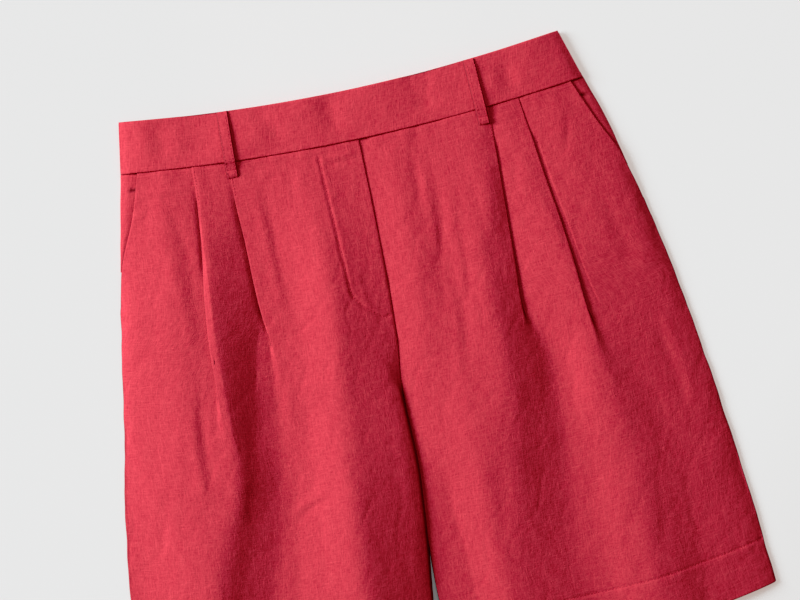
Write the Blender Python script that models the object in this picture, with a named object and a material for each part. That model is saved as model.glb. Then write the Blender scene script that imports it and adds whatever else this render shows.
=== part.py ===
"""Linen bermuda shorts with a wide plain waistband, laid flat with the front up.

The row frame has its origin under the middle of the shorts, on the surface they lie on.
+Y points to the waist, +X to the wearer's left leg and +Z up.  The tables below are in
millimetres: "down" is measured from the middle of the waist's top edge towards the hems,
and "across" from the centre-front line.  mesh_wall() turns them into metres.
"""
import math

import bpy
import numpy as np

MM = 0.001
SHARP_ANGLE = 50.0      # edges sharper than this, in degrees, are shaded sharp

# ---- Driving sizes, in millimetres
CLOTH = 1.0             # wall of one layer of linen
BAND_WALL = 1.8         # waistband: two layers and a stiffener
GAP = 0.3               # clear space between pieces
SEAM_DOWN = 43.0        # waistband seam at the centre front
HEM_DOWN = 497.0        # hem edge, below the middle of each leg
HEM_DEPTH = 38.0        # turned-up hem
HEM_WALL = 2.1          # wall where the hem is turned up
WAIST_HALF = 190.0      # half of the waist's top edge
SEAM_HALF = 200.0       # half of the waistband seam
WAIST_SMILE = 13.2      # how far the waist's ends stand above its middle
SEAM_SMILE = 12.6
HEM_RISE = 16.0         # how far the hem rises to the side seam
HEM_RISE_FROM = 110.0   # where that rise starts, across
HEM_HALF = 265.0
MID_ACROSS = -3.0       # middle of the shorts, left corner to right corner
MID_DOWN = 242.3

LINEN = (0.62, 0.055, 0.085)
SHADED_LINEN = (0.50, 0.035, 0.062)

# ---- Where the sections of a leg are given, down from the waist's top edge
LEVELS = (43, 75, 110, 160, 210, 260, 310, 360, 430, 497)

# Side seams: down, right leg's side (across, negative), left leg's side
SIDE_SEAMS = (
    (-13, 193.0, 187.0),
    (0, 195.5, 190.5),
    (33, 200.5, 199.3),
    (60, 206.5, 208.0),
    (100, 214.7, 217.8),
    (160, 226.8, 231.0),
    (240, 241.0, 244.4),
    (320, 256.8, 254.7),
    (400, 267.6, 262.6),
    (481, 275.0, 269.0),
)

# Slant pocket openings: down, right leg, left leg, height of the front's edge there
POCKET_EDGES = (
    (30, 185.0, 186.5, 5.6),
    (67, 197.2, 201.5, 4.9),
    (102, 212.8, 217.0, 3.7),
    (112, 216.2, 219.6, 3.3),
    (126, 219.6, 223.3, 2.7),
    (142, 223.2, 227.0, 1.85),
)
POCKET_TUCK = 14.0      # how far the hip piece runs in under the front
POCKET_END = 119.0

# ---- Folds of each front, from its centre edge out to its side.
# A round over 0 is a crest and one under 0 a trough: it is the radius that the cloth's
# middle turns on.  Each pleat is a crest whose trough is tucked back under it where the
# pleat is closed, and lies outside it where the pleat has opened.
# Columns: name, arc steps, across at each level, height at each level, round at each level.
RIGHT_LEG_FOLDS = (
    ("centre", 0,
     (-2, -2, -1.8, -1.2, 1, 5.8, 4.8, 8, 16.2, 25.5),
     (6.4, 6.3, 6.1, 5.7, 4.6, 2.4, 2.2, 2.2, 2.2, 2.2),
     (0, 0, 0, 0, 0, 0, 0, 0, 0, 0)),
    ("fly_slope", 2,
     (14, 14, 14, 14, 12, 10.5, 10, 13, 20.5, 30),
     (6.7, 6.5, 6.9, 7.4, 7, 7, 7.4, 7, 6.8, 6.6),
     (-60, -60, -60, -60, -60, 3, 3.5, 3.5, 3.5, 3.5)),
    ("beside_fly", 2,
     (44, 46, 46, 46, 50, 56, 60, 66, 72, 76),
     (7.2, 8.2, 9.8, 13, 13, 12.8, 15.6, 17.6, 18.6, 18.2),
     (60, 40, 28, 20, 22, 28, 34, 38, 40, 40)),
    ("broad_slope", 2,
     (84, 84, 84, 82, 84, 86, 90, 98, 108, 112),
     (6.6, 5.6, 5.1, 5.3, 5.6, 5.4, 8.2, 9.4, 10.4, 10.4),
     (-60, -40, -30, -60, -150, 150, 150, 150, 150, 150)),
    ("inner_pleat", 4,
     (110, 110, 109, 108.5, 104, 102, 106, 114, 128, 134),
     (7.65, 7.3, 7.9, 7.9, 3.7, 4.6, 5.6, 6, 6.4, 6.4),
     (0.75, 0.8, 1, 1.3, 1.9, 12, 30, 60, 80, 80)),
    ("inner_tuck", 4,
     (98, 98, 99, 102, 108, 112, 120, 132, 150, 156),
     (4.65, 3.9, 3.9, 3.9, 2.3, 3, 5, 5.3, 5, 5),
     (-0.75, -0.8, -1, -1.3, -1.9, -12, -40, -80, -60, -60)),
    ("inner_toe", 2,
     (109, 107.5, 106.5, 107.5, 118, 126, 138, 150, 168, 174),
     (6.3, 4.9, 4.1, 4.1, 3.4, 5.2, 9.5, 8.9, 8.1, 8.1),
     (-10, -6, -3, -3, -12, -60, -150, -80, -60, -60)),
    ("outer_shoulder", 2,
     (134, 139, 142.5, 146.5, 150, 151.5, 154, 174, 196, 204),
     (6.6, 7.3, 10.2, 13.3, 14.6, 14.8, 15.6, 14.6, 14.4, 14.2),
     (20, 10, 7, 7, 8, 9, 10, 30, 40, 40)),
    ("outer_pleat", 4,
     (139.6, 141.5, 145, 152.2, 156.5, 158, 161, 184, 205, 213),
     (7.6, 8, 9.9, 13.1, 15.1, 14.5, 15.6, 15.2, 14.8, 14.6),
     (0.75, 0.8, 1, 1.3, 1.9, 4, 7, 35, 40, 40)),
    ("outer_tuck", 4,
     (134, 137, 140.5, 147.5, 155, 164, 176, 204, 222, 230),
     (4.6, 4.6, 5.9, 9.1, 11.1, 13.2, 14.2, 13.6, 12, 11.6),
     (-0.75, -0.8, -1, -1.3, -1.9, -4, -12, -60, -90, -90)),
    ("outer_toe", 2,
     (139, 140.5, 143.5, 154, 164, 172, 186, 214, 232, 240),
     (6.2, 6.1, 7.3, 10.5, 12.2, 12.8, 14, 11.6, 9.4, 8.9),
     (-20, -20, -12, -14, -16, -20, -40, 150, 150, 150)),
    ("hip_crest", 2,
     (166, 170, 173, 179, 184, 192, 206, 232, 248, 254),
     (6.6, 7.7, 9, 12.2, 12.2, 12.6, 11.8, 7.2, 5.8, 5.5),
     (60, 50, 40, 40, 50, 60, 90, 150, 150, 150)),
)

LEFT_LEG_FOLDS = (
    ("centre", 0,
     (2.4, 2.4, 2.2, 1.6, -0.6, -4.4, -4.4, -8, -11, -3),
     (5.4, 5.3, 5.1, 4.8, 3.7, 2, 1.9, 1.9, 1.9, 1.9),
     (0, 0, 0, 0, 0, 0, 0, 0, 0, 0)),
    ("inner_shoulder", 2,
     (28, 28, 28, 28, 24, 12, 13, 14, 13, 18),
     (7, 7.7, 8.9, 9.3, 8.1, 5, 4.8, 3.9, 3.6, 3.8),
     (60, 50, 45, 45, 45, 20, 20, 20, 20, 20)),
    ("faint_valley", 2,
     (52, 52, 53, 54, 56, 50, 48, 42, 34, 40),
     (6.8, 6.9, 7.4, 7.8, 10, 9.9, 11.5, 10.5, 9.8, 9.6),
     (-60, -50, -40, -35, -90, 90, 80, 70, 60, 60)),
    ("broad_crest", 2,
     (96, 99, 98, 87, 82, 84, 78, 70, 62, 66),
     (7.4, 8.5, 10.4, 11.6, 13.1, 12.7, 11.6, 10.1, 8.8, 8.8),
     (60, 30, 16, 20, 22, 25, 60, 90, 150, 150)),
    ("inner_pleat", 4,
     (115, 113.5, 112, 110, 107, 102, 100, 96, 90, 92),
     (7.8, 7.5, 7.95, 7.9, 7.4, 8.2, 7.3, 6.3, 5.6, 5.6),
     (0.75, 0.8, 1, 1.3, 2, 20, 60, -80, -60, -60)),
    ("inner_tuck", 4,
     (103, 103, 103, 104, 109, 122, 122, 118, 112, 116),
     (4.8, 4.1, 3.95, 3.9, 4.6, 3.4, 4.1, 2.9, 3, 3),
     (-0.75, -0.8, -1, -1.3, -1.9, -18, -40, -60, -60, -60)),
    ("inner_toe", 2,
     (117, 116, 115, 114, 117, 132, 134, 134, 130, 134),
     (6, 5.7, 5.9, 5.6, 5.6, 4.8, 5.6, 4.4, 4.2, 4.2),
     (-20, -14, -12, -10, -12, -30, -50, -60, -60, -60)),
    ("outer_shoulder", 2,
     (128, 130, 136, 148, 151, 153, 156, 158, 156, 156),
     (6.9, 7, 8.3, 9.9, 10.5, 10.8, 10.9, 9.2, 9.2, 9.2),
     (20, 16, 14, 8, 8, 14, 30, 40, 50, 50)),
    ("outer_pleat", 4,
     (141, 145, 149, 155, 159, 163, 168, 174, 172, 172),
     (7.85, 7.6, 8.3, 9.8, 11.6, 11.6, 11.8, 10.9, 11, 11),
     (0.75, 0.8, 1, 1.3, 2, 5, 20, 35, 40, 40)),
    ("outer_tuck", 4,
     (134, 138, 142, 149, 157, 172, 182, 190, 190, 192),
     (4.85, 4.2, 4.3, 5.8, 7.6, 9.2, 9.9, 9.6, 9.6, 9.4),
     (-0.75, -0.8, -1, -1.3, -2, -12, -40, 150, 150, 150)),
    ("outer_toe", 2,
     (143, 147.5, 152, 160, 168, 181, 195, 207, 210, 214),
     (6.1, 5.8, 6.3, 7.6, 8.7, 8.2, 7.6, 7.1, 6.4, 6.2),
     (-20, -20, -14, -14, -20, -40, -90, -60, -40, -40)),
    ("hip_crest", 2,
     (168, 172, 176, 185, 192, 207, 218, 227, 231, 235),
     (6.8, 6.8, 7.2, 7.8, 7.6, 6.3, 6.1, 6.2, 5.6, 5.4),
     (60, 60, 60, 60, 90, 120, 90, 40, 25, 25)),
)
SHOULDER_IN = 12.0      # the front's shoulder, in from its side edge
SHOULDER_HEIGHTS = {
    1: (6.0, 5.7, 6.1, 6.5, 5.8, 5.2, 4.3, 3.6, 3.3, 3.3),
    2: (6.0, 5.6, 5.7, 6.1, 5.5, 4.6, 4.5, 4.3, 4.2, 4.2),
}
SHOULDER_ROUND = 12.0
EDGE_HEIGHT = 1.85      # middle of the cloth where a front meets a back

# Rows of each front's mesh, down from the waist
FRONT_ROWS = (43.3, 58, 75, 92, 110, 128, 145, 165, 188, 212, 236, 262, 295, 335, 385, 430,
              HEM_DOWN - HEM_DEPTH - 1, HEM_DOWN - HEM_DEPTH + 1, HEM_DOWN)

# Waistband: across, height of the middle of its wall at the top edge and at the seam
BAND_HEIGHTS = (
    (-1.00, 3.05, 3.05),
    (-0.96, 5.2, 5.6),
    (-0.84, 6.9, 7.3),
    (-0.70, 6.8, 7.6),
    (-0.55, 7.4, 8.0),
    (-0.35, 7.1, 7.7),
    (-0.15, 7.7, 8.1),
    (0.00, 7.1, 7.6),
    (0.20, 7.6, 8.1),
    (0.34, 7.1, 7.7),
    (0.55, 7.5, 8.0),
    (0.72, 6.8, 7.5),
    (0.84, 6.9, 7.3),
    (0.96, 5.2, 5.6),
    (1.00, 3.05, 3.05),
)
BAND_COLUMNS = 44
BAND_ROWS = 4
TOP_SHIFT = 2.6         # how far the top edge lies towards the right leg
RIGHT_DRAWN_IN = 1.9    # how much its left-leg end is drawn in
BACK_BAND_LOW = 0.8     # how far the back waistband's top lies below the front's

# Fly placket under the right leg's front
FLY_WIDTH = 34.0
FLY_COLUMNS = 8
FLY_CLEAR = 0.1         # more clear space than GAP, where the front slopes
FLY_STRAIGHT = 168.0    # where its J-shaped end starts
FLY_END = 194.5

# Belt loops: across, and the strip's own sizes
LOOPS = {"belt_loop_right": -106.0, "belt_loop_left": 107.0}
LOOP_WIDTH = 9.0
LOOP_WALL = 1.4
LOOP_TOP = -4.0
LOOP_BOTTOM = 51.5
LOOP_STAND = 1.6        # how far its middle stands off the waistband
LOOP_CLEAR = 0.45       # clear space under its sewn ends
LOOP_FOOT = 0.6         # how far its foot steps down off the waistband


# ---- Curves and sections

def through(levels, values, level):
    """Give the smooth curve through a table's values, with no overshoot, at one level."""
    levels = np.asarray(levels, float)
    values = np.asarray(values, float)
    steps = np.diff(levels)
    slopes = np.diff(values) / steps
    tangents = np.concatenate(([slopes[0]], np.zeros(len(values) - 2), [slopes[-1]]))
    for i in range(1, len(values) - 1):
        before, after = slopes[i - 1], slopes[i]
        if before * after > 0:
            weight = 2 * steps[i] + steps[i - 1]
            other = steps[i] + 2 * steps[i - 1]
            tangents[i] = (weight + other) / (weight / before + other / after)
    level = min(max(level, levels[0]), levels[-1])
    i = min(int(np.searchsorted(levels, level, side="right")) - 1, len(slopes) - 1)
    t = (level - levels[i]) / steps[i]
    return float((2 * t**3 - 3 * t**2 + 1) * values[i]
                 + (t**3 - 2 * t**2 + t) * steps[i] * tangents[i]
                 + (3 * t**2 - 2 * t**3) * values[i + 1]
                 + (t**3 - t**2) * steps[i] * tangents[i + 1])


def column(table, index, level):
    """Read one column of a table whose first column is the level."""
    return through([row[0] for row in table], [row[index] for row in table], level)


def seam_line(across):
    """Where the waistband seam lies, down, at a place across."""
    return SEAM_DOWN - SEAM_SMILE * (across / SEAM_HALF) ** 2


def waist_line(across):
    """Where the waist's top edge lies, down, at a place across."""
    return 0.7 - WAIST_SMILE * (across / WAIST_HALF) ** 2


def lay_down(level, across):
    """Move a section's level to follow the curved waist seam and the curved hem."""
    share = (level - SEAM_DOWN) / (HEM_DOWN - SEAM_DOWN)
    out = max(0.0, abs(across) - HEM_RISE_FROM) / (HEM_HALF - HEM_RISE_FROM)
    return level + (1 - share) * (seam_line(across) - SEAM_DOWN) - share * HEM_RISE * out**2


def side_seam(level, leg):
    """How far out the side seam lies at a section's level; leg is 1 (right) or 2 (left)."""
    out = column(SIDE_SEAMS, leg, level)
    return column(SIDE_SEAMS, leg, lay_down(level, out))


def front_edge(level, leg):
    """Give the front's side edge (out, height): the pocket opening, then the side seam."""
    side = side_seam(level, leg)
    down = lay_down(level, side)
    last = POCKET_EDGES[-1][0]
    if down >= last:
        return side, EDGE_HEIGHT
    out = min(column(POCKET_EDGES, leg, down), side)
    return out, column(POCKET_EDGES, 3, down)


def belt_round(stations):
    """Run the cloth's middle line over and under a chain of rounds.

    Each station is (out, height, signed radius, arc steps).  Between two rounds the line
    is their common tangent.  The answer is a list of (out, height, slope angle).
    """
    out = [s[0] for s in stations]
    high = [s[1] for s in stations]
    size = [s[2] for s in stations]
    spans = range(len(stations) - 1)
    for i in spans[1:]:
        near = min(out[i] - out[i - 1], out[i + 1] - out[i])
        if near > 0:
            size[i] = min(max(size[i], -near), near)
    for _ in range(6):
        keep = [1.0] * len(stations)
        for i in spans:
            run, fall = out[i + 1] - out[i], high[i] - high[i + 1]
            turn = size[i] - size[i + 1]
            room = 0.97 * (run**2 + fall**2)
            if 2 * turn * fall > room:
                share = room / (2 * turn * fall)
                keep[i] = min(keep[i], share)
                keep[i + 1] = min(keep[i + 1], share)
        size = [r * k for r, k in zip(size, keep)]
    angles = []
    for i in spans:
        run, fall = out[i + 1] - out[i], high[i] - high[i + 1]
        turn = size[i] - size[i + 1]
        length = math.sqrt(max(0.0, run**2 + fall**2 - 2 * turn * fall))
        angle = math.atan2(fall - turn, run) + math.atan2(turn, length)
        angles.append(angle + 2 * math.pi if angle < -0.5 * math.pi else angle)
    line = []
    for i, (x, z, _, steps) in enumerate(stations):
        come = angles[max(i - 1, 0)]
        leave = angles[min(i, len(angles) - 1)]
        for k in range(steps + 1):
            slope = come + (leave - come) * (k / steps if steps else 0.5)
            line.append((x + size[i] * math.sin(slope),
                         z - size[i] + size[i] * math.cos(slope), slope))
    return line


def front_section(level, folds, leg):
    """Give one section of a front, from its centre edge out to its side edge."""
    stations = [(through(LEVELS, across, level), through(LEVELS, heights, level),
                 through(LEVELS, rounds, level), steps)
                for _, steps, across, heights, rounds in folds]
    edge, edge_height = front_edge(level, leg)
    shoulder = max(through(LEVELS, SHOULDER_HEIGHTS[leg], level), edge_height + 0.2)
    stations.append((edge - SHOULDER_IN, shoulder, SHOULDER_ROUND, 3))
    stations.append((edge, edge_height, 0, 0))
    return belt_round(stations)


def wall_of(level):
    """Give the wall of a leg at one level: twice the cloth where the hem is turned up."""
    return HEM_WALL if level > HEM_DOWN - HEM_DEPTH else CLOTH


# ---- Meshes

def placed(across, down, height):
    """Turn a place in the tables' millimetres into the row frame's metres."""
    return ((across - MID_ACROSS) * MM, (MID_DOWN - down) * MM, height * MM)


def mesh_wall(name, outer, inner, colour):
    """Close two grids of points, an outer and an inner face, into one wall."""
    rows, columns = len(outer), len(outer[0])
    points = [placed(*p) for grid in (outer, inner) for row in grid for p in row]
    far = rows * columns

    def at(row, col, side):
        return side * far + row * columns + col

    faces = []
    for r in range(rows - 1):
        for c in range(columns - 1):
            top = (at(r, c, 0), at(r + 1, c, 0), at(r + 1, c + 1, 0), at(r, c + 1, 0))
            faces.append(top)
            faces.append(tuple(i + far for i in reversed(top)))
    border = ([(0, c) for c in range(columns - 1)]
              + [(r, columns - 1) for r in range(rows - 1)]
              + [(rows - 1, c) for c in range(columns - 1, 0, -1)]
              + [(r, 0) for r in range(rows - 1, 0, -1)])
    for a, b in zip(border, border[1:] + border[:1]):
        faces.append((at(*a, 0), at(*b, 0), at(*b, 1), at(*a, 1)))
    mesh = bpy.data.meshes.new(name)
    mesh.from_pydata(points, [], faces)
    mesh.validate()
    mesh.shade_smooth()
    mesh.set_sharp_from_angle(angle=math.radians(SHARP_ANGLE))
    piece = bpy.data.objects.new(name, mesh)
    bpy.context.collection.objects.link(piece)
    if signed_volume(mesh) < 0:
        mesh.flip_normals()
    mesh.materials.append(colour)
    return piece


def signed_volume(mesh):
    """Give the mesh's volume, below zero where its faces point in."""
    mesh.calc_loop_triangles()
    total = 0.0
    for triangle in mesh.loop_triangles:
        a, b, c = (mesh.vertices[i].co for i in triangle.vertices)
        total += a.dot(b.cross(c)) / 6
    return total


def wall_grids(sections, side):
    """Move each section's points out and in along its own slope to make a wall's faces.

    Both edges are cut square to the surface below.  The turned-up hem thickens the wall
    inwards, as far as there is room over the back.
    """
    outer, inner = [], []
    for level, line in sections:
        for grid, face in ((outer, 1), (inner, -1)):
            row = []
            for k, (out, height, slope) in enumerate(line):
                slope = slope if 0 < k < len(line) - 1 else 0.0
                shift = CLOTH / 2
                if face < 0:
                    shift = -min(wall_of(level) - shift, height - CLOTH - GAP + 0.01)
                x = side * (out + shift * math.sin(slope))
                row.append((x, lay_down(level, x), height + shift * math.cos(slope)))
            grid.append(row)
    return outer, inner


def linen(name, colour):
    """Make one cloth material."""
    material = bpy.data.materials.new(name)
    material.use_nodes = True
    shader = material.node_tree.nodes["Principled BSDF"]
    shader.inputs["Base Color"].default_value = (*colour, 1)
    shader.inputs["Roughness"].default_value = 0.85
    shader.inputs["Metallic"].default_value = 0
    return material


# ---- Pieces

def make_fronts(colour):
    """Both fronts, each with two pleats and a slant pocket opening."""
    made = {}
    for name, folds, leg, side in (("front_right", RIGHT_LEG_FOLDS, 1, -1),
                                   ("front_left", LEFT_LEG_FOLDS, 2, 1)):
        sections = [(level, front_section(level, folds, leg)) for level in FRONT_ROWS]
        outer, inner = wall_grids(sections, side)
        mesh_wall(name, outer, inner, colour)
        made[name] = (folds, leg, side)
    return made


def centre_edge(level, folds):
    """Give a front's centre edge, or its inseam below the crotch, at one level."""
    return through(LEVELS, folds[0][2], level)


def make_backs(colour):
    """Both backs, flat on the surface."""
    rows = (43.3, 75, 110, 150, 200, 240, 262, 310, 360, 410, 455, HEM_DOWN)
    columns = 9
    for name, folds, leg, side in (("back_right", RIGHT_LEG_FOLDS, 1, -1),
                                   ("back_left", LEFT_LEG_FOLDS, 2, 1)):
        outer, inner = [], []
        for level in rows:
            start = centre_edge(level, folds)
            end = side_seam(level, leg)
            top, bottom = [], []
            for k in range(columns):
                across = side * (start + (end - start) * k / (columns - 1))
                down = lay_down(level, across)
                top.append((across, down, CLOTH))
                bottom.append((across, down, 0.0))
            outer.append(top)
            inner.append(bottom)
        mesh_wall(name, outer, inner, colour)


def band_point(share, drop):
    """Give a place on the middle of the front waistband: share across, drop down it."""
    half_top, half_seam = WAIST_HALF, SEAM_HALF
    across = share * (half_top + (half_seam - half_top) * drop)
    across -= TOP_SHIFT * (1 - drop) + RIGHT_DRAWN_IN * max(share, 0.0)
    down = waist_line(across) + (seam_line(across) - GAP - waist_line(across)) * drop
    top = column(BAND_HEIGHTS, 1, share)
    seam = column(BAND_HEIGHTS, 2, share)
    return across, down, top + (seam - top) * math.sin(drop * math.pi / 2)


def make_waistbands(colour, shaded):
    """The front waistband, lying on the back one."""
    shares = [math.sin(math.pi / 2 * (2 * k / (BAND_COLUMNS - 1) - 1) * 0.999)
              / math.sin(math.pi / 2 * 0.999) for k in range(BAND_COLUMNS)]
    outer, inner, top, bottom = [], [], [], []
    for r in range(BAND_ROWS):
        drop = r / (BAND_ROWS - 1)
        points = [band_point(share, drop) for share in shares]
        outer.append([(x, d, z + BAND_WALL / 2) for x, d, z in points])
        inner.append([(x, d, z - BAND_WALL / 2) for x, d, z in points])
        flat = [(x, d + BACK_BAND_LOW * (1 - drop)) for x, d, _ in points[::3]]
        top.append([(x, d, BAND_WALL) for x, d in flat])
        bottom.append([(x, d, 0.0) for x, d in flat])
    mesh_wall("waistband_front", outer, inner, colour)
    mesh_wall("waistband_back", top, bottom, shaded)


def height_on(line, out):
    """Give the height of a section's line where it last passes a place across."""
    for a, b in zip(reversed(line[:-1]), reversed(line[1:])):
        low, high = sorted((a[0], b[0]))
        if low <= out <= high and high > low:
            return a[1] + (b[1] - a[1]) * (out - a[0]) / (b[0] - a[0])
    return line[-1][1]


def make_pockets(fronts, shaded):
    """The hip pieces that show under the slant pocket openings."""
    for name, front in (("pocket_right", "front_right"), ("pocket_left", "front_left")):
        folds, leg, side = fronts[front]
        outer, inner = [], []
        for level in (43.3, 58, 75, 92, 108, POCKET_END + 8):
            line = front_section(level, folds, leg)
            edge, edge_height = front_edge(level, leg)
            seam = side_seam(level, leg)
            under = CLOTH + GAP + 0.1
            spots = [(edge - POCKET_TUCK, height_on(line, edge - POCKET_TUCK) - under),
                     (edge - SHOULDER_IN + 1, height_on(line, edge - SHOULDER_IN + 1) - under),
                     (edge - 2.5, height_on(line, edge - 2.5) - under),
                     (edge, edge_height - under)]
            reach = max(seam - 0.4, edge + 0.2)
            spots.append(((edge + reach) / 2, (edge_height - under + EDGE_HEIGHT) / 2 + 0.3))
            spots.append((reach, EDGE_HEIGHT))
            spots = [(out, max(high, EDGE_HEIGHT)) for out, high in spots]
            rows = [(side * out, lay_down(level, side * out), high) for out, high in spots]
            outer.append([(x, d, z + CLOTH / 2) for x, d, z in rows])
            inner.append([(x, d, z - CLOTH / 2) for x, d, z in rows])
        mesh_wall(name, outer, inner, shaded)


def make_fly(fronts, shaded):
    """The J-ended placket under the right front's centre edge."""
    folds, leg, side = fronts["front_right"]
    outer, inner = [], []
    for level in (44.5, 58, 75, 92, 110, 128, 145, FLY_STRAIGHT, 178, 188, FLY_END):
        line = front_section(level, folds, leg)
        bend = max(0.0, (level - FLY_STRAIGHT) / (FLY_END + 1 - FLY_STRAIGHT))
        width = FLY_WIDTH * math.sqrt(1 - bend**2)
        start = centre_edge(level, folds) + 0.5
        top, bottom = [], []
        for k in range(FLY_COLUMNS):
            out = start + width * k / (FLY_COLUMNS - 1)
            high = first_height(line, out) - CLOTH - GAP - FLY_CLEAR
            x = side * out
            top.append((x, lay_down(level, x), high + CLOTH / 2))
            bottom.append((x, lay_down(level, x), high - CLOTH / 2))
        outer.append(top)
        inner.append(bottom)
    mesh_wall("fly", outer, inner, shaded)


def first_height(line, out):
    """Give the height of a section's line where it first passes a place across."""
    for a, b in zip(line[:-1], line[1:]):
        if a[0] <= out <= b[0] and b[0] > a[0]:
            return a[1] + (b[1] - a[1]) * (out - a[0]) / (b[0] - a[0])
    return line[0][1]


def make_loops(fronts, colour):
    """The two belt loops, standing off the waistband and sewn down at both ends."""
    steps = 9
    for name, across in LOOPS.items():
        folds, leg, side = fronts["front_right" if across < 0 else "front_left"]
        outer, inner = [], []
        for k in range(steps):
            down = LOOP_TOP + (LOOP_BOTTOM - LOOP_TOP) * k / (steps - 1)
            top, bottom = [], []
            for edge in (-0.5, 0.5):
                x = across + edge * LOOP_WIDTH
                spread = WAIST_HALF + (SEAM_HALF - WAIST_HALF) * max(0.0, down) / SEAM_DOWN
                base = band_point(x / spread, min(1.0, max(0.0, down / SEAM_DOWN)))[2]
                base += BAND_WALL / 2
                if down > SEAM_DOWN:
                    line = front_section(down, folds, leg)
                    base = max(first_height(line, side * x) + CLOTH / 2, base - LOOP_FOOT)
                stand = LOOP_STAND * math.sin(math.pi * k / (steps - 1)) ** 0.5
                top.append((x, down, base + LOOP_CLEAR + stand + LOOP_WALL))
                bottom.append((x, down, base + LOOP_CLEAR + stand))
            outer.append(top)
            inner.append(bottom)
        mesh_wall(name, outer, inner, colour)


def main():
    """Build the shorts."""
    for old in list(bpy.data.objects):
        bpy.data.objects.remove(old, do_unlink=True)
    outside = linen("linen", LINEN)
    shaded = linen("linen_inside", SHADED_LINEN)
    fronts = make_fronts(outside)
    make_backs(shaded)
    make_waistbands(outside, shaded)
    make_pockets(fronts, shaded)
    make_fly(fronts, shaded)
    make_loops(fronts, outside)


main()
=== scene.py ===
"""Linen bermuda shorts with a wide plain waistband, laid flat with the front up.

The row frame has its origin under the middle of the shorts, on the surface they lie on.
+Y points to the waist, +X to the wearer's left leg and +Z up.  Sizes in the tables are in
millimetres: "down" is measured from the middle of the waist's top edge towards the hems,
"across" from the centre-front line towards the wearer's left, and "out" from that same
line towards each leg's own side seam.
"""
from __future__ import annotations

import logging
import math
from dataclasses import dataclass, field
from enum import Enum

import bpy
import numpy as np
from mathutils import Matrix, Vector


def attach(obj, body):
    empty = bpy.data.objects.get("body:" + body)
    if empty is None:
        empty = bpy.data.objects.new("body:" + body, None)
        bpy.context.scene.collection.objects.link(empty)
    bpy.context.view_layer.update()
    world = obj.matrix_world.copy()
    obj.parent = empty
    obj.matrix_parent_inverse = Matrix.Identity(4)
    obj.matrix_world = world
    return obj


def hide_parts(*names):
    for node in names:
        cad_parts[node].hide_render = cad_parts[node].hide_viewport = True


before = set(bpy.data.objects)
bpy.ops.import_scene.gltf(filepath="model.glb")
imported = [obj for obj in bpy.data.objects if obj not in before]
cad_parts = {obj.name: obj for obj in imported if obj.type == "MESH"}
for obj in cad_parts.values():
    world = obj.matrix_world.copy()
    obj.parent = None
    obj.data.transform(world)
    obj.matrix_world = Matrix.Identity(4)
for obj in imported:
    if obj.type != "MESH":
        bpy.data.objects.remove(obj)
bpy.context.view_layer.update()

LOG = logging.getLogger("shorts")
Array = np.ndarray

MM = 0.001

# ---- Driving sizes, in millimetres
CLOTH = 0.62            # wall of one layer of linen
LOWEST = 0.32           # middle of the cloth that lies on the surface
SEAM_DOWN = 43.0        # waistband seam at the centre front
HEM_DOWN = 497.0        # hem edge, below the middle of each leg
HEM_DEPTH = 38.0        # turned-up hem
HEM_FLOOR = 1.05        # middle of the turned-up part, at its lowest
WAIST_HALF = 190.0      # half of the waist's top edge
SEAM_HALF = 200.0       # half of the waistband seam
TOP_SHIFT = 2.6         # how far the waist's top edge lies to the wearer's right
DRAWN_IN = 1.9          # how much shorter the band's left half is
BAND_WALL = 0.6
BAND_CUT = (0.41, 0.09)     # the rectangle that a band is cut from, in metres
WAIST_SMILE = 13.2      # how far the waist's ends stand above its middle
SEAM_SMILE = 12.6
HEM_RISE = 16.0         # how far the hem rises to the side seam
HEM_RISE_FROM = 110.0   # where that rise starts, across
HEM_HALF = 265.0
MID_ACROSS = -3.0       # middle of the shorts, left corner to right corner
MID_DOWN = 242.3
CROTCH_FROM, CROTCH_TO = 186.0, 222.0   # where the centre edges part into inseams
FLY_WIDTH = 34.0
FLY_STRAIGHT = 168.0    # where the fly's J-shaped end starts
FLY_END = 194.5


class Side(Enum):
    """A leg, named for the wearer; the value is its direction across."""

    RIGHT = -1
    LEFT = 1


class Held(Enum):
    """How a sheet of cloth lies."""

    LAID = "laid"
    FOLDED = "folded"


class Slot(Enum):
    """A piece's slot for its finish."""

    LINEN = "linen"
    LINEN_INSIDE = "linen_inside"


# ---- Tables

# Where the sections of a leg are given, down from the waist's top edge
LEVELS = (43, 75, 110, 160, 210, 260, 310, 360, 430, 497)
SHOULDER_IN = 12.0      # the front's shoulder, in from its side edge
RIGHT_SHOULDER_HEIGHTS = (6.0, 5.7, 6.1, 6.5, 5.8, 5.2, 4.3, 3.6, 3.3, 3.3)
LEFT_SHOULDER_HEIGHTS = (6.0, 5.6, 5.7, 6.1, 5.5, 4.6, 4.5, 4.3, 4.2, 4.2)
SHOULDER_ROUND = 12.0
PRESSED_STEP = 0.40     # from a pressed pleat's top layer to the cloth beside it
PRESSED_UNDER = 0.20    # and on to the layer under it
PRESSED_ROUND = 0.2
PRESSED_TO = (67, 80)   # levels where the pressed pleats let go
SEAM_SINK = 1.9         # how far the cloth goes in below the waistband
EDGE_HEIGHT = 1.85      # middle of the cloth where a front meets a back

# Side seams: down, right leg's side, left leg's side
SIDE_SEAMS = (
    (-13, 193.0, 187.0),
    (0, 195.5, 190.5),
    (33, 200.5, 199.3),
    (60, 206.5, 208.0),
    (100, 214.7, 217.8),
    (160, 226.8, 231.0),
    (240, 241.0, 244.4),
    (320, 256.8, 254.7),
    (400, 267.6, 262.6),
    (481, 275.0, 269.0),
)

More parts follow.
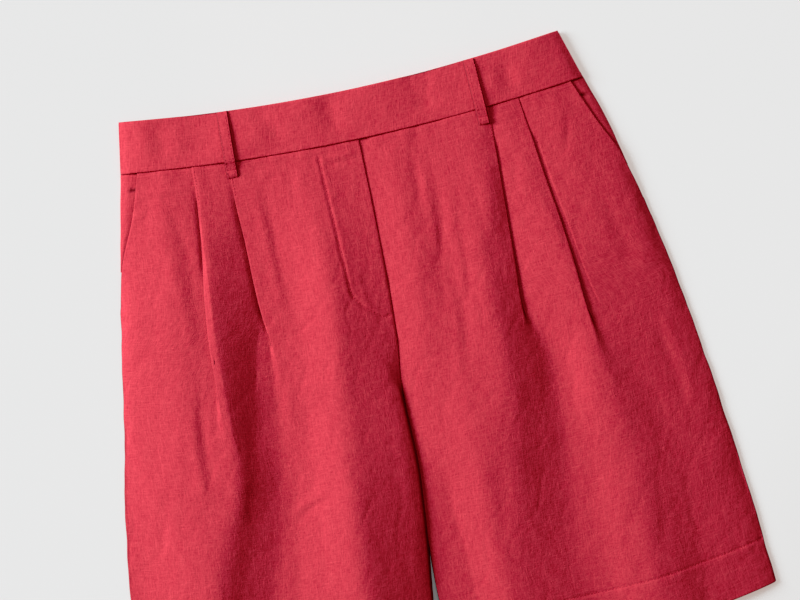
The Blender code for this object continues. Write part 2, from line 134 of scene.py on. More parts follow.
# Slant pocket openings: down, right leg, left leg, height of the front's edge there
POCKET_EDGES = (
    (30, 185.0, 186.5, 5.6),
    (67, 197.2, 201.5, 4.9),
    (102, 212.8, 217.0, 3.7),
    (112, 216.2, 219.6, 3.3),
    (126, 219.6, 223.3, 2.7),
    (142, 223.2, 227.0, 1.85),
)

# Waistband: share of its half width, height of its middle at the top edge and the seam
BAND_HEIGHTS = (
    (-1.00, 3.05, 3.05),
    (-0.96, 5.2, 5.6),
    (-0.84, 6.9, 7.3),
    (-0.70, 6.8, 7.6),
    (-0.55, 7.4, 8.0),
    (-0.35, 7.1, 7.7),
    (-0.15, 7.7, 8.1),
    (0.00, 7.1, 7.6),
    (0.20, 7.6, 8.1),
    (0.34, 7.1, 7.7),
    (0.55, 7.5, 8.0),
    (0.72, 6.8, 7.5),
    (0.84, 6.9, 7.3),
    (0.96, 5.2, 5.6),
    (1.00, 3.05, 3.05),
)


@dataclass(frozen=True)
class Fold:
    """One crest or trough that runs down a front.

    A round over 0 is a crest and one under 0 a trough: the radius that the cloth turns
    on.  A pleat is a turned crest whose trough is folded back under it where the pleat
    is closed, and lies outside it where the pleat has opened.
    """

    name: str
    columns: int                    # columns of the sheet from here to the next fold
    turned: bool                    # whether the cloth turns right over here
    across: tuple[float, ...]       # out from the centre front, at each level
    heights: tuple[float, ...]
    rounds: tuple[float, ...]


@dataclass(frozen=True)
class Crease:
    """A soft ridge (height over 0) or trough that the cloth holds from lying folded."""

    start: tuple[float, float]      # across, down
    end: tuple[float, float]
    width: float
    height: float
    bow: float = 0.0                # how far its middle bows aside

    def rise(self, across: Array, down: Array, fade: float) -> Array:
        """Say how far the crease lifts the cloth.

        Args:
            across: Where, across.
            down: Where, down.
            fade: How far past its ends it fades out, as a share of its length.

        Returns:
            The rise at each place, in millimetres.
        """
        start, along = np.array(self.start, float), np.subtract(self.end, self.start)
        length = float(np.hypot(*along))
        along = along / length
        t = ((across - start[0]) * along[0] + (down - start[1]) * along[1]) / length
        aside = (across - start[0]) * along[1] - (down - start[1]) * along[0]
        aside = aside - self.bow * 4 * np.clip(t, 0, 1) * (1 - np.clip(t, 0, 1))
        shown = ease(-fade, 0.1 + fade, t) * (1 - ease(0.9 - fade, 1 + fade, t))
        return self.height * shown * np.exp(-(aside / self.width) ** 2)


RIGHT_LEG_FOLDS = (
    Fold("centre", 10, False,
         (-2, -2, -1.8, -1.2, 1, 5.8, 4.8, 8, 16.2, 25.5),
         (6.4, 6.3, 6.1, 5.7, 4.6, 2.4, 2.2, 2.2, 2.2, 2.2),
         (0, 0, 0, 0, 0, 0, 0, 0, 0, 0)),
    Fold("fly_slope", 30, False,
         (14, 14, 14, 14, 12, 10.5, 10, 13, 20.5, 30),
         (6.7, 6.5, 6.9, 7.4, 7, 7, 7.4, 7, 6.8, 6.6),
         (-60, -60, -60, -60, -60, 3, 3.5, 3.5, 3.5, 3.5)),
    Fold("beside_fly", 16, False,
         (44, 46, 46, 46, 50, 56, 60, 66, 72, 76),
         (7.2, 8.2, 9.8, 13, 13, 12.8, 15.6, 17.6, 18.6, 18.2),
         (60, 40, 28, 20, 22, 28, 34, 38, 40, 40)),
    Fold("broad_slope", 16, False,
         (84, 84, 84, 82, 84, 86, 90, 98, 108, 112),
         (6.6, 5.6, 5.1, 5.3, 5.6, 5.4, 8.2, 9.4, 10.4, 10.4),
         (-60, -40, -30, -60, -150, 150, 150, 150, 150, 150)),
    Fold("inner_pleat", 12, True,
         (110, 110, 109, 108.5, 104, 102, 106, 114, 128, 134),
         (6.9, 6.0, 5.0, 4.4, 3.7, 4.6, 5.6, 6.0, 6.4, 6.4),
         (0.2, 0.2, 0.2, 0.25, 0.9, 12, 30, 60, 80, 80)),
    Fold("inner_tuck", 10, True,
         (98, 98, 99, 102, 108, 112, 120, 132, 150, 156),
         (5.4, 4.1, 2.9, 2.4, 2.3, 3.0, 5.0, 5.3, 5.0, 5.0),
         (-0.2, -0.2, -0.2, -0.3, -1.2, -12, -40, -80, -60, -60)),
    Fold("inner_toe", 12, False,
         (109, 107.5, 106.5, 107.5, 118, 126, 138, 150, 168, 174),
         (6.3, 4.9, 3.4, 2.6, 3.4, 5.2, 9.5, 8.9, 8.1, 8.1),
         (-10, -6, -3, -3, -12, -60, -150, -80, -60, -60)),
    Fold("outer_shoulder", 12, False,
         (134, 139, 142.5, 146.5, 150, 151.5, 154, 174, 196, 204),
         (6.6, 7.3, 10.2, 13.3, 14.6, 14.8, 15.6, 14.6, 14.4, 14.2),
         (20, 10, 7, 7, 8, 9, 10, 30, 40, 40)),
    Fold("outer_pleat", 12, True,
         (139.6, 141.5, 145, 152.2, 156.5, 158, 161, 184, 205, 213),
         (6.6, 7.1, 9.0, 12.2, 14.0, 14.5, 15.6, 15.2, 14.8, 14.6),
         (0.2, 0.3, 0.4, 0.6, 1.8, 4.0, 7.0, 35, 40, 40)),
    Fold("outer_tuck", 10, True,
         (134, 137, 140.5, 147.5, 155, 164, 176, 204, 222, 230),
         (5.6, 5.5, 6.8, 10.0, 12.2, 13.2, 14.2, 13.6, 12.0, 11.6),
         (-0.36, -0.4, -0.5, -0.8, -1.8, -4, -12, -60, -90, -90)),
    Fold("outer_toe", 12, False,
         (139, 140.5, 143.5, 154, 164, 172, 186, 214, 232, 240),
         (6.2, 6.1, 7.3, 10.5, 12.2, 12.8, 14.0, 11.6, 9.4, 8.9),
         (-20, -20, -12, -14, -16, -20, -40, 150, 150, 150)),
    Fold("hip_crest", 12, False,
         (166, 170, 173, 179, 184, 192, 206, 232, 248, 254),
         (6.6, 7.7, 9.0, 12.2, 12.2, 12.6, 11.8, 7.2, 5.8, 5.5),
         (60, 50, 40, 40, 50, 60, 90, 150, 150, 150)),
)

LEFT_LEG_FOLDS = (
    Fold("centre", 10, False,
         (2.4, 2.4, 2.2, 1.6, -0.6, -4.4, -4.4, -8, -11, -3),
         (5.4, 5.3, 5.1, 4.8, 3.7, 2.0, 1.9, 1.9, 1.9, 1.9),
         (0, 0, 0, 0, 0, 0, 0, 0, 0, 0)),
    Fold("inner_shoulder", 20, False,
         (28, 28, 28, 28, 24, 12, 14, 18, 22, 22),
         (7, 7.7, 8.9, 9.3, 8.1, 5, 4.4, 2.8, 2.3, 2.9),
         (60, 50, 45, 45, 45, 20, 20, 20, 20, 20)),
    Fold("faint_valley", 14, False,
         (52, 52, 53, 54, 56, 50, 49, 47, 47, 48),
         (6.8, 6.9, 7.4, 7.8, 10.0, 9.9, 11.4, 10.1, 9.0, 9.0),
         (-60, -50, -40, -35, -90, 90, 80, 70, 60, 60)),
    Fold("broad_crest", 18, False,
         (96, 99, 98, 87, 82, 84, 78, 70, 62, 66),
         (7.4, 8.5, 10.4, 11.6, 13.1, 12.7, 11.6, 10.1, 8.8, 8.8),
         (60, 30, 16, 20, 22, 25, 60, 90, 150, 150)),
    Fold("inner_pleat", 12, True,
         (115, 113.5, 112, 110, 107, 102, 100, 96, 90, 92),
         (7.2, 6.8, 7.0, 6.8, 7.4, 8.2, 7.3, 6.3, 5.6, 5.6),
         (0.34, 0.36, 0.4, 0.6, 2.0, 20, 60, -80, -60, -60)),
    Fold("inner_tuck", 10, True,
         (103, 103, 103, 104, 109, 122, 122, 118, 112, 116),
         (5.4, 4.8, 4.9, 4.7, 4.6, 3.4, 4.1, 2.9, 3.0, 3.0),
         (-0.34, -0.36, -0.4, -0.6, -1.8, -18, -40, -60, -60, -60)),
    Fold("inner_toe", 12, False,
         (117, 116, 115, 114, 117, 132, 134, 134, 130, 134),
         (6.0, 5.7, 5.9, 5.6, 5.6, 4.8, 5.6, 4.4, 4.2, 4.2),
         (-20, -14, -12, -10, -12, -30, -50, -60, -60, -60)),
    Fold("outer_shoulder", 12, False,
         (128, 130, 136, 148, 151, 153, 156, 158, 156, 156),
         (6.9, 7.0, 8.3, 9.9, 10.5, 10.8, 10.9, 9.2, 9.2, 9.2),
         (20, 16, 14, 8, 8, 14, 30, 40, 50, 50)),
    Fold("outer_pleat", 12, True,
         (141, 145, 149, 155, 159, 163, 168, 174, 172, 172),
         (7.3, 6.9, 7.4, 9.0, 10.9, 11.6, 11.8, 10.9, 11.0, 11.0),
         (0.36, 0.4, 0.5, 0.8, 2.0, 5.0, 20, 35, 40, 40)),
    Fold("outer_tuck", 10, True,
         (134, 138, 142, 149, 157, 172, 182, 190, 190, 192),
         (5.4, 4.9, 5.2, 6.6, 8.3, 9.2, 9.9, 9.6, 9.6, 9.4),
         (-0.36, -0.4, -0.5, -0.8, -2.0, -12, -40, 150, 150, 150)),
    Fold("outer_toe", 14, False,
         (143, 147.5, 152, 160, 168, 181, 195, 207, 210, 214),
         (6.1, 5.8, 6.3, 7.6, 8.7, 8.2, 7.6, 7.1, 6.4, 6.2),
         (-20, -20, -14, -14, -20, -40, -90, -60, -40, -40)),
    Fold("hip_crest", 12, False,
         (168, 172, 176, 185, 192, 207, 218, 227, 231, 235),
         (6.8, 6.8, 7.2, 7.8, 7.6, 6.3, 6.1, 6.2, 5.6, 5.4),
         (60, 60, 60, 60, 90, 120, 90, 40, 25, 25)),
)

RIGHT_LEG_CREASES = (
    Crease((-30, 55), (-3, 53.5), 1.9, 0.8),
    Crease((-31, 58.5), (-4, 57), 2.2, -0.6),
    Crease((-188, 51), (-146, 55), 2.0, 0.5),
    Crease((-187, 54.5), (-150, 58), 2.2, -0.35),
    Crease((-86, 53), (-62, 55), 2.0, 0.45),
    Crease((-84, 70), (-83, 170), 4.0, -0.5, -1.5),
    Crease((-93, 70), (-90, 165), 4.5, 0.6, 1.5),
    Crease((-166, 58), (-160, 150), 4.5, -0.6, 3.0),
    Crease((-176, 100), (-170, 190), 5.0, 0.6, 2.0),
    Crease((-178, 300), (-172, 230), 5.0, -0.7, 2.0),
    Crease((-186, 310), (-181, 240), 5.0, 0.6, 2.0),
    Crease((-112, 344), (-84, 334), 3.0, -0.5, 1.5),
    Crease((-116, 340), (-86, 329), 3.0, 0.35, 1.5),
    Crease((-204, 70), (-186, 66), 3.0, 0.4),
    Crease((-200, 45), (-190, 44), 1.7, -0.6),
    Crease((-200, 48.5), (-189, 47.5), 1.8, 0.4),
    Crease((-60, 250), (-58, 330), 6.0, -0.35, 1.0),
    Crease((-236, 230), (-222, 330), 7.0, 0.4, -2.0),
    Crease((-232, 350), (-212, 300), 5.0, -0.4, 2.0),
    Crease((-34, 96), (-26, 80), 2.6, 0.35),
    Crease((-22, 150), (-17, 190), 3.0, 0.3, -1.0),
    Crease((-62, 60), (-60, 84), 3.0, -0.4),
    Crease((-52, 56), (-53, 74), 2.6, 0.3),
)
LEFT_LEG_CREASES = (
    Crease((43, 58), (41, 110), 4.0, -0.5, 1.0),
    Crease((51, 74), (49, 150), 4.0, 0.5, -1.0),
    Crease((60, 96), (46, 165), 3.6, -0.55, 2.0),
    Crease((66, 96), (62, 190), 4.5, 0.45, 1.5),
    Crease((70, 126), (66, 196), 3.6, -0.4, 1.0),
    Crease((86, 86), (92, 180), 5.0, -0.4, 1.5),
    Crease((60, 180), (52, 250), 5.0, -0.5, 1.0),
    Crease((54, 190), (44, 260), 5.0, 0.4, 1.0),
    Crease((178, 60), (170, 92), 3.0, -0.4, 1.0),
    Crease((160, 76), (176, 70), 2.5, 0.35, 0.6),
    Crease((156, 84), (170, 92), 2.5, -0.3, 0.6),
    Crease((190, 130), (206, 190), 6.0, -0.45, 2.0),
    Crease((214, 240), (226, 320), 6.0, -0.5, 2.0),
    Crease((222, 240), (232, 320), 5.0, 0.5, 2.0),
    Crease((118, 50), (138, 48), 2.2, 0.5),
    Crease((112, 56), (128, 50), 2.4, -0.3),
    Crease((60, 330), (52, 400), 7.0, -0.4, 1.0),
    Crease((128, 80), (124, 112), 3.6, -0.35),
    Crease((190, 360), (184, 430), 6.0, -0.4, 2.0),
    Crease((206, 370), (204, 440), 6.0, 0.4, 2.0),
    Crease((14, 56), (30, 52), 2.4, -0.3),
)
BAND_CREASES = (
    Crease((118, 34), (156, 27), 2.0, -0.28),
    Crease((122, 29), (150, 24), 2.4, 0.24),
    Crease((134, 6), (137, 34), 8.0, -1.3),
    Crease((-163, -6), (-160, 26), 9.0, -1.2),
    Crease((-18, 2), (-14, 36), 9.0, -1.3),
    Crease((62, -2), (64, 34), 9.0, -1.1),
    Crease((-78, 2), (-60, 30), 7.0, -0.9),
)


# ---- Curves and unevenness

@dataclass
class Curve:
    """A smooth curve through a table's values, with no overshoot."""

    levels: Array
    values: Array
    tangents: Array = field(init=False)

    def __post_init__(self) -> None:
        """Work out the curve's slope at each of its levels."""
        self.levels = np.asarray(self.levels, float)
        self.values = np.asarray(self.values, float)
        steps = np.diff(self.levels)
        slopes = np.diff(self.values) / steps
        inner = np.zeros(len(self.values) - 2)
        before, after = slopes[:-1], slopes[1:]
        weight = 2 * steps[1:] + steps[:-1]
        other = steps[1:] + 2 * steps[:-1]
        same = before * after > 0
        inner[same] = ((weight + other)[same]
                       / (weight[same] / before[same] + other[same] / after[same]))
        self.tangents = np.concatenate(([slopes[0]], inner, [slopes[-1]]))

    def at(self, level: Array | float) -> Array:
        """Read the curve.

        Args:
            level: Where to read it, held inside its first and last levels.

        Returns:
            Its values there.
        """
        level = np.clip(np.asarray(level, float), self.levels[0], self.levels[-1])
        i = np.clip(np.searchsorted(self.levels, level, side="right") - 1,
                    0, len(self.levels) - 2)
        step = self.levels[i + 1] - self.levels[i]
        t = (level - self.levels[i]) / step
        return ((2 * t**3 - 3 * t**2 + 1) * self.values[i]
                + (t**3 - 2 * t**2 + t) * step * self.tangents[i]
                + (3 * t**2 - 2 * t**3) * self.values[i + 1]
                + (t**3 - t**2) * step * self.tangents[i + 1])


def table_curve(table: tuple[tuple[float, ...], ...], column: int) -> Curve:
    """Make the curve through one column of a table whose first column is the level."""
    return Curve(np.array([row[0] for row in table]), np.array([row[column] for row in table]))


def ease(start: float, end: float, value: Array | float) -> Array:
    """Rise smoothly from 0 at start to 1 at end."""
    t = np.clip((np.asarray(value, float) - start) / (end - start), 0, 1)
    return t * t * (3 - 2 * t)


def drift(across: Array, down: Array, pitch: float, seed: int, stretch: float = 1.0,
          turn: float = 0.0) -> Array:
    """Give smooth seeded unevenness, about -1 to 1.

    Args:
        across: Where, one way.
        down: Where, the other way.
        pitch: The size of its lumps.
        seed: Which unevenness.
        stretch: How much longer the lumps are down than across.
        turn: How far the lumps are turned, in degrees.

    Returns:
        The unevenness at each place.
    """
    angle = math.radians(turn)
    u = (across * math.cos(angle) + down * math.sin(angle)) / pitch
    v = (down * math.cos(angle) - across * math.sin(angle)) / (pitch * stretch)
    ways = np.random.default_rng(seed).uniform(0, 2 * math.pi, (97, 89))
    iu, iv = np.floor(u).astype(int), np.floor(v).astype(int)
    fu, fv = u - iu, v - iv
    total = np.zeros_like(u, dtype=float)
    for du in (0, 1):
        for dv in (0, 1):
            way = ways[(iu + du) % 97, (iv + dv) % 89]
            pull = np.cos(way) * (fu - du) + np.sin(way) * (fv - dv)
            share_u = ease(0, 1, fu) if du else 1 - ease(0, 1, fu)
            share_v = ease(0, 1, fv) if dv else 1 - ease(0, 1, fv)
            total += pull * share_u * share_v
    return total * 1.6


def seam_line(across: Array | float) -> Array:
    """Say where the waistband seam lies, down, at a place across."""
    return SEAM_DOWN - SEAM_SMILE * (np.asarray(across) / SEAM_HALF) ** 2


def waist_line(across: Array | float) -> Array:
    """Say where the waist's top edge lies, down, at a place across."""
    return 0.7 - WAIST_SMILE * (np.asarray(across) / WAIST_HALF) ** 2


def lay_down(level: Array | float, across: Array | float) -> Array:
    """Move a section's level to follow the curved waist seam and the curved hem."""
    share = (np.asarray(level) - SEAM_DOWN) / (HEM_DOWN - SEAM_DOWN)
    out = np.maximum(0.0, np.abs(across) - HEM_RISE_FROM) / (HEM_HALF - HEM_RISE_FROM)
    return (level + (1 - share) * (seam_line(across) - SEAM_DOWN)
            - share * HEM_RISE * out**2)


def placed(across: Array, down: Array, height: Array) -> Array:
    """Turn places in the tables' millimetres into points in the row frame's metres."""
    return np.stack(((np.asarray(across) - MID_ACROSS) * MM,
                     (MID_DOWN - np.asarray(down)) * MM,
                     np.asarray(height) * MM), axis=-1)


# ---- Finishes

def wire(tree: bpy.types.NodeTree, source: object, target: bpy.types.NodeSocket) -> None:
    """Join a socket, or give a plain value, to an input."""
    if isinstance(source, bpy.types.NodeSocket):
        tree.links.new(source, target)
    else:
        target.default_value = source


def add_node(tree: bpy.types.NodeTree, kind: str, inputs: dict[str | int, object] | None = None,
             **settings: object) -> bpy.types.Node:
    """Add a node, set its own fields, and join or set its inputs."""
    node = tree.nodes.new(kind)
    for key, value in settings.items():
        setattr(node, key, value)
    for key, value in (inputs or {}).items():
        wire(tree, value, node.inputs[key])
    return node


def maths(tree: bpy.types.NodeTree, operation: str, *values: object) -> bpy.types.NodeSocket:
    """Add a Math node and give its output."""
    return add_node(tree, "ShaderNodeMath", dict(enumerate(values)),
                    operation=operation).outputs[0]


def mix_colours(tree: bpy.types.NodeTree, first: object, second: object,
                share: bpy.types.NodeSocket) -> bpy.types.NodeSocket:
    """Mix two colours, or sockets of colours, and give the mixed colour."""
    return add_node(tree, "ShaderNodeMix", {"A": first, "B": second, "Factor": share},
                    data_type="RGBA").outputs["Result"]


def scaled_noise(tree: bpy.types.NodeTree, vector: bpy.types.NodeSocket, sizes: tuple,
                 detail: float, rough: float) -> bpy.types.NodeSocket:
    """Add a noise whose lumps have the given sizes in metres, and give its value."""
    scaled = add_node(tree, "ShaderNodeVectorMath", {0: vector, 1: tuple(1 / s for s in sizes)},
                      operation="MULTIPLY")
    return add_node(tree, "ShaderNodeTexNoise",
                    {"Vector": scaled.outputs[0], "Scale": 1.0, "Detail": detail,
                     "Roughness": rough}, noise_dimensions="3D").outputs["Fac"]


# The linen's unevenness: size across and down the cloth in metres, detail, roughness
WARP = (0.0010, 0.0042, 2.0, 0.6)
WEFT = (0.0046, 0.0010, 2.0, 0.6)
THICK_WARP = (0.0016, 0.015, 1.0, 0.5)
THICK_WEFT = (0.013, 0.0014, 1.0, 0.5)
MOTTLE = (0.010, 0.014, 2.0, 0.55)
CRUMPLE = (0.0045, 0.0065, 3.0, 0.6)


def weave_group() -> bpy.types.NodeTree:
    """Make the woven linen pattern that every cloth finish shares.

    Returns:
        A node group from cloth coordinates in metres to Tone (0 dark to 1 light),
        Height (about 0 to 1) and Roughness.
    """
    tree = bpy.data.node_groups.new("linen_weave", "ShaderNodeTree")
    sockets = tree.interface
    sockets.new_socket("Vector", in_out="INPUT", socket_type="NodeSocketVector")
    for name, value in (("Slubs", 1.0), ("Mottle", 1.0), ("Crumple", 1.0), ("Matt", 0.82)):
        socket = sockets.new_socket(name, in_out="INPUT", socket_type="NodeSocketFloat")
        socket.default_value = value
    for name in ("Tone", "Height", "Roughness"):
        sockets.new_socket(name, in_out="OUTPUT", socket_type="NodeSocketFloat")
    entry = add_node(tree, "NodeGroupInput")
    leave = add_node(tree, "NodeGroupOutput")
    cloth = entry.outputs["Vector"]

    warp, weft, thick_warp, thick_weft, mottle, crumple = (
        scaled_noise(tree, cloth, (across, down, 1.0), detail, rough)
        for across, down, detail, rough in (WARP, WEFT, THICK_WARP, THICK_WEFT, MOTTLE, CRUMPLE))

    threads = maths(tree, "SUBTRACT", maths(tree, "ADD", warp, weft), 1.0)
    slubs = maths(tree, "SUBTRACT", maths(tree, "MAXIMUM", thick_warp, thick_weft), 0.58)
    grainy = maths(tree, "MULTIPLY", maths(tree, "ADD", threads, slubs), entry.outputs["Slubs"])
    soft = maths(tree, "MULTIPLY", maths(tree, "SUBTRACT", mottle, 0.5),
                 entry.outputs["Mottle"])
    tone = maths(tree, "ADD", maths(tree, "ADD", grainy, soft), 0.5)
    clamp = add_node(tree, "ShaderNodeClamp", {"Value": tone})
    wire(tree, clamp.outputs[0], leave.inputs["Tone"])

    lumps = maths(tree, "MULTIPLY", maths(tree, "SUBTRACT", crumple, 0.5),
                  entry.outputs["Crumple"])
    height = maths(tree, "ADD", maths(tree, "MULTIPLY", threads, 0.34),
                   maths(tree, "MULTIPLY", slubs, 0.30))
    height = maths(tree, "ADD", maths(tree, "ADD", height, lumps), 0.5)
    wire(tree, height, leave.inputs["Height"])
    wire(tree, maths(tree, "ADD", entry.outputs["Matt"],
                     maths(tree, "MULTIPLY", threads, 0.12)), leave.inputs["Roughness"])
    return tree


@dataclass(frozen=True)
class LinenFinish:
    """Dyed linen, washed and slightly crumpled."""

    name: str
    light: tuple[float, float, float]
    dark: tuple[float, float, float]
    slubs: float = 1.0
    mottle: float = 0.35
    crumple: float = 0.7
    matt: float = 0.82
    bump: float = 0.00055           # how deep the pattern stands, in metres
    painted_shade_dark: float = 0.25       # how dark the painted shade is, where the cloth turns over and on loop sides and bar tacks
    painted_shade_share: float = 0.85

    def material(self, weave: bpy.types.NodeTree) -> bpy.types.Material:
        """Make the material.

        Args:
            weave: The shared woven pattern.

        Returns:
            The finished material.
        """
        material = bpy.data.materials.new(self.name)
        material.use_nodes = True
        tree = material.node_tree
        shader = tree.nodes["Principled BSDF"]
        cloth = add_node(tree, "ShaderNodeUVMap", uv_map="cloth").outputs["UV"]
        pattern = add_node(tree, "ShaderNodeGroup", node_tree=weave)
        for name, value in (("Vector", cloth), ("Slubs", self.slubs), ("Mottle", self.mottle),
                            ("Crumple", self.crumple), ("Matt", self.matt)):
            wire(tree, value, pattern.inputs[name])
        colour = mix_colours(tree, (*self.dark, 1), (*self.light, 1), pattern.outputs["Tone"])
        # Painted shade: the colour is pulled towards a darker copy of the dark tone wherever the
        # mesh's shade attribute is set, on steep and turned-over cloth, belt loops' sides and bar
        # tacks' dents
        tucked = add_node(tree, "ShaderNodeAttribute", attribute_name="tucked").outputs["Fac"]
        shaded = (*(self.painted_shade_dark * part for part in self.dark), 1)
        colour = mix_colours(tree, colour, shaded,
                             maths(tree, "MULTIPLY", tucked, self.painted_shade_share))
        wire(tree, colour, shader.inputs["Base Color"])
        wire(tree, pattern.outputs["Roughness"], shader.inputs["Roughness"])
        bump = add_node(tree, "ShaderNodeBump",
                        {"Strength": 1.0, "Distance": self.bump,
                         "Height": pattern.outputs["Height"]})
        wire(tree, bump.outputs["Normal"], shader.inputs["Normal"])
        shader.inputs["Specular IOR Level"].default_value = 0.22
        shader.inputs["Sheen Weight"].default_value = 0.04
        shader.inputs["Sheen Roughness"].default_value = 0.5
        shader.inputs["Sheen Tint"].default_value = (0.95, 0.45, 0.50, 1)
        return material


@dataclass(frozen=True)
class ThreadFinish:
    """Twisted sewing thread, dyed to match."""

    name: str = "sewing_thread"
    colour: tuple[float, float, float] = (0.60, 0.05, 0.085)
    rough: float = 0.62
    ply: float = 900.0              # how closely it is twisted

    def material(self) -> bpy.types.Material:
        """Make the material."""
        material = bpy.data.materials.new(self.name)
        material.use_nodes = True
        tree = material.node_tree
        shader = tree.nodes["Principled BSDF"]
        place = add_node(tree, "ShaderNodeTexCoord").outputs["Object"]
        ply = add_node(tree, "ShaderNodeTexWave", {"Scale": self.ply, "Vector": place},
                       bands_direction="DIAGONAL")
        colour = mix_colours(tree, (*(c * 0.8 for c in self.colour), 1),
                             (*(c * 1.1 for c in self.colour), 1), ply.outputs["Fac"])
        wire(tree, colour, shader.inputs["Base Color"])
        shader.inputs["Roughness"].default_value = self.rough
        shader.inputs["Specular IOR Level"].default_value = 0.3
        return material


@dataclass(frozen=True)
class FloorFinish:
    """Smooth matt card under the shorts, a little paler away from the key light; a painted glow
    lifts its shadows.
    """

    name: str = "pale_card"
    glow: tuple[float, float, float] = (0.58, 0.48, 0.43)   # share of the painted glow in each colour, which lightens and warms the shadows
    shade: float = 0.725            # how bright it stays all over, in the studio's light
    fading: float = 2.7             # the power of distance by which a lamp's light fades
    palest: float = 0.95
    glow_strength: float = 0.92
    open_from: float = 0.07         # how far from the middle the glow starts and is whole
    open_to: float = 0.15

    def material(self, lamps: list[tuple[Vector, float]], fill: float) -> bpy.types.Material:
        """Make the material.

        Args:
            lamps: Where each lamp stands, and its light in the middle of the floor.
            fill: The light from all round.

        Returns:
            The finished material.
        """
        material = bpy.data.materials.new(self.name)
        material.use_nodes = True
        tree = material.node_tree
        shader = tree.nodes["Principled BSDF"]
        place = add_node(tree, "ShaderNodeTexCoord").outputs["Object"]
        lit = fill
        for lamp, share in lamps:
            gap = add_node(tree, "ShaderNodeVectorMath", {0: place, 1: lamp},
                           operation="DISTANCE").outputs["Value"]
            near = maths(tree, "POWER", maths(tree, "DIVIDE", lamp.length, gap), self.fading)
            lit = maths(tree, "ADD", maths(tree, "MULTIPLY", near, share), lit)
        tone = maths(tree, "DIVIDE", self.shade, lit)
        tooth = scaled_noise(tree, place, (0.004, 0.004, 0.004), 2.0, 0.5)
        tone = maths(tree, "ADD", tone, maths(tree, "MULTIPLY", tooth, 0.003))
        tone = maths(tree, "MINIMUM", tone, self.palest)
        # Painted light: away from the middle the card glows, and its own colour is lowered by the
        # same share, so shadows on it look soft, pale and a little warm; between the legs it does
        # not glow
        apart = add_node(tree, "ShaderNodeSeparateXYZ", {0: place}).outputs["X"]
        open_side = add_node(tree, "ShaderNodeMapRange",
                             {"Value": maths(tree, "ABSOLUTE", apart),
                              "From Min": self.open_from, "From Max": self.open_to},
                             interpolation_type="SMOOTHSTEP").outputs["Result"]
        colour = add_node(tree, "ShaderNodeCombineColor")
        glow = add_node(tree, "ShaderNodeCombineColor")
        for channel, share in zip(("Red", "Green", "Blue"), self.glow):
            own = maths(tree, "MULTIPLY", open_side, share)
            wire(tree, maths(tree, "MULTIPLY", own, self.shade * self.glow_strength),
                 glow.inputs[channel])
            wire(tree, maths(tree, "MULTIPLY", maths(tree, "SUBTRACT", 1.0, own), tone),
                 colour.inputs[channel])
        wire(tree, colour.outputs["Color"], shader.inputs["Base Color"])
        wire(tree, glow.outputs["Color"], shader.inputs["Emission Color"])
        shader.inputs["Emission Strength"].default_value = 1.0
        shader.inputs["Roughness"].default_value = 0.95
        shader.inputs["Specular IOR Level"].default_value = 0.0
        return material


@dataclass
class Workroom:
    """The finishes, each made once."""

    cloths: dict[Slot, bpy.types.Material] = field(init=False)
    thread: bpy.types.Material = field(init=False)

    def __post_init__(self) -> None:
        """Make the finishes."""
        weave = weave_group()
        face = LinenFinish("linen", (0.650, 0.076, 0.104), (0.435, 0.030, 0.054))
        inside = LinenFinish("linen_inside", (0.56, 0.036, 0.076), (0.38, 0.018, 0.048),
                             mottle=0.5, matt=0.85)
        self.cloths = {Slot.LINEN: face.material(weave),
                       Slot.LINEN_INSIDE: inside.material(weave)}
        self.thread = ThreadFinish().material()


# ---- Sheets of cloth

def lay_aside() -> None:
    """Deselect everything, so that the next operator acts on its own piece only."""
    bpy.ops.object.select_all(action="DESELECT")


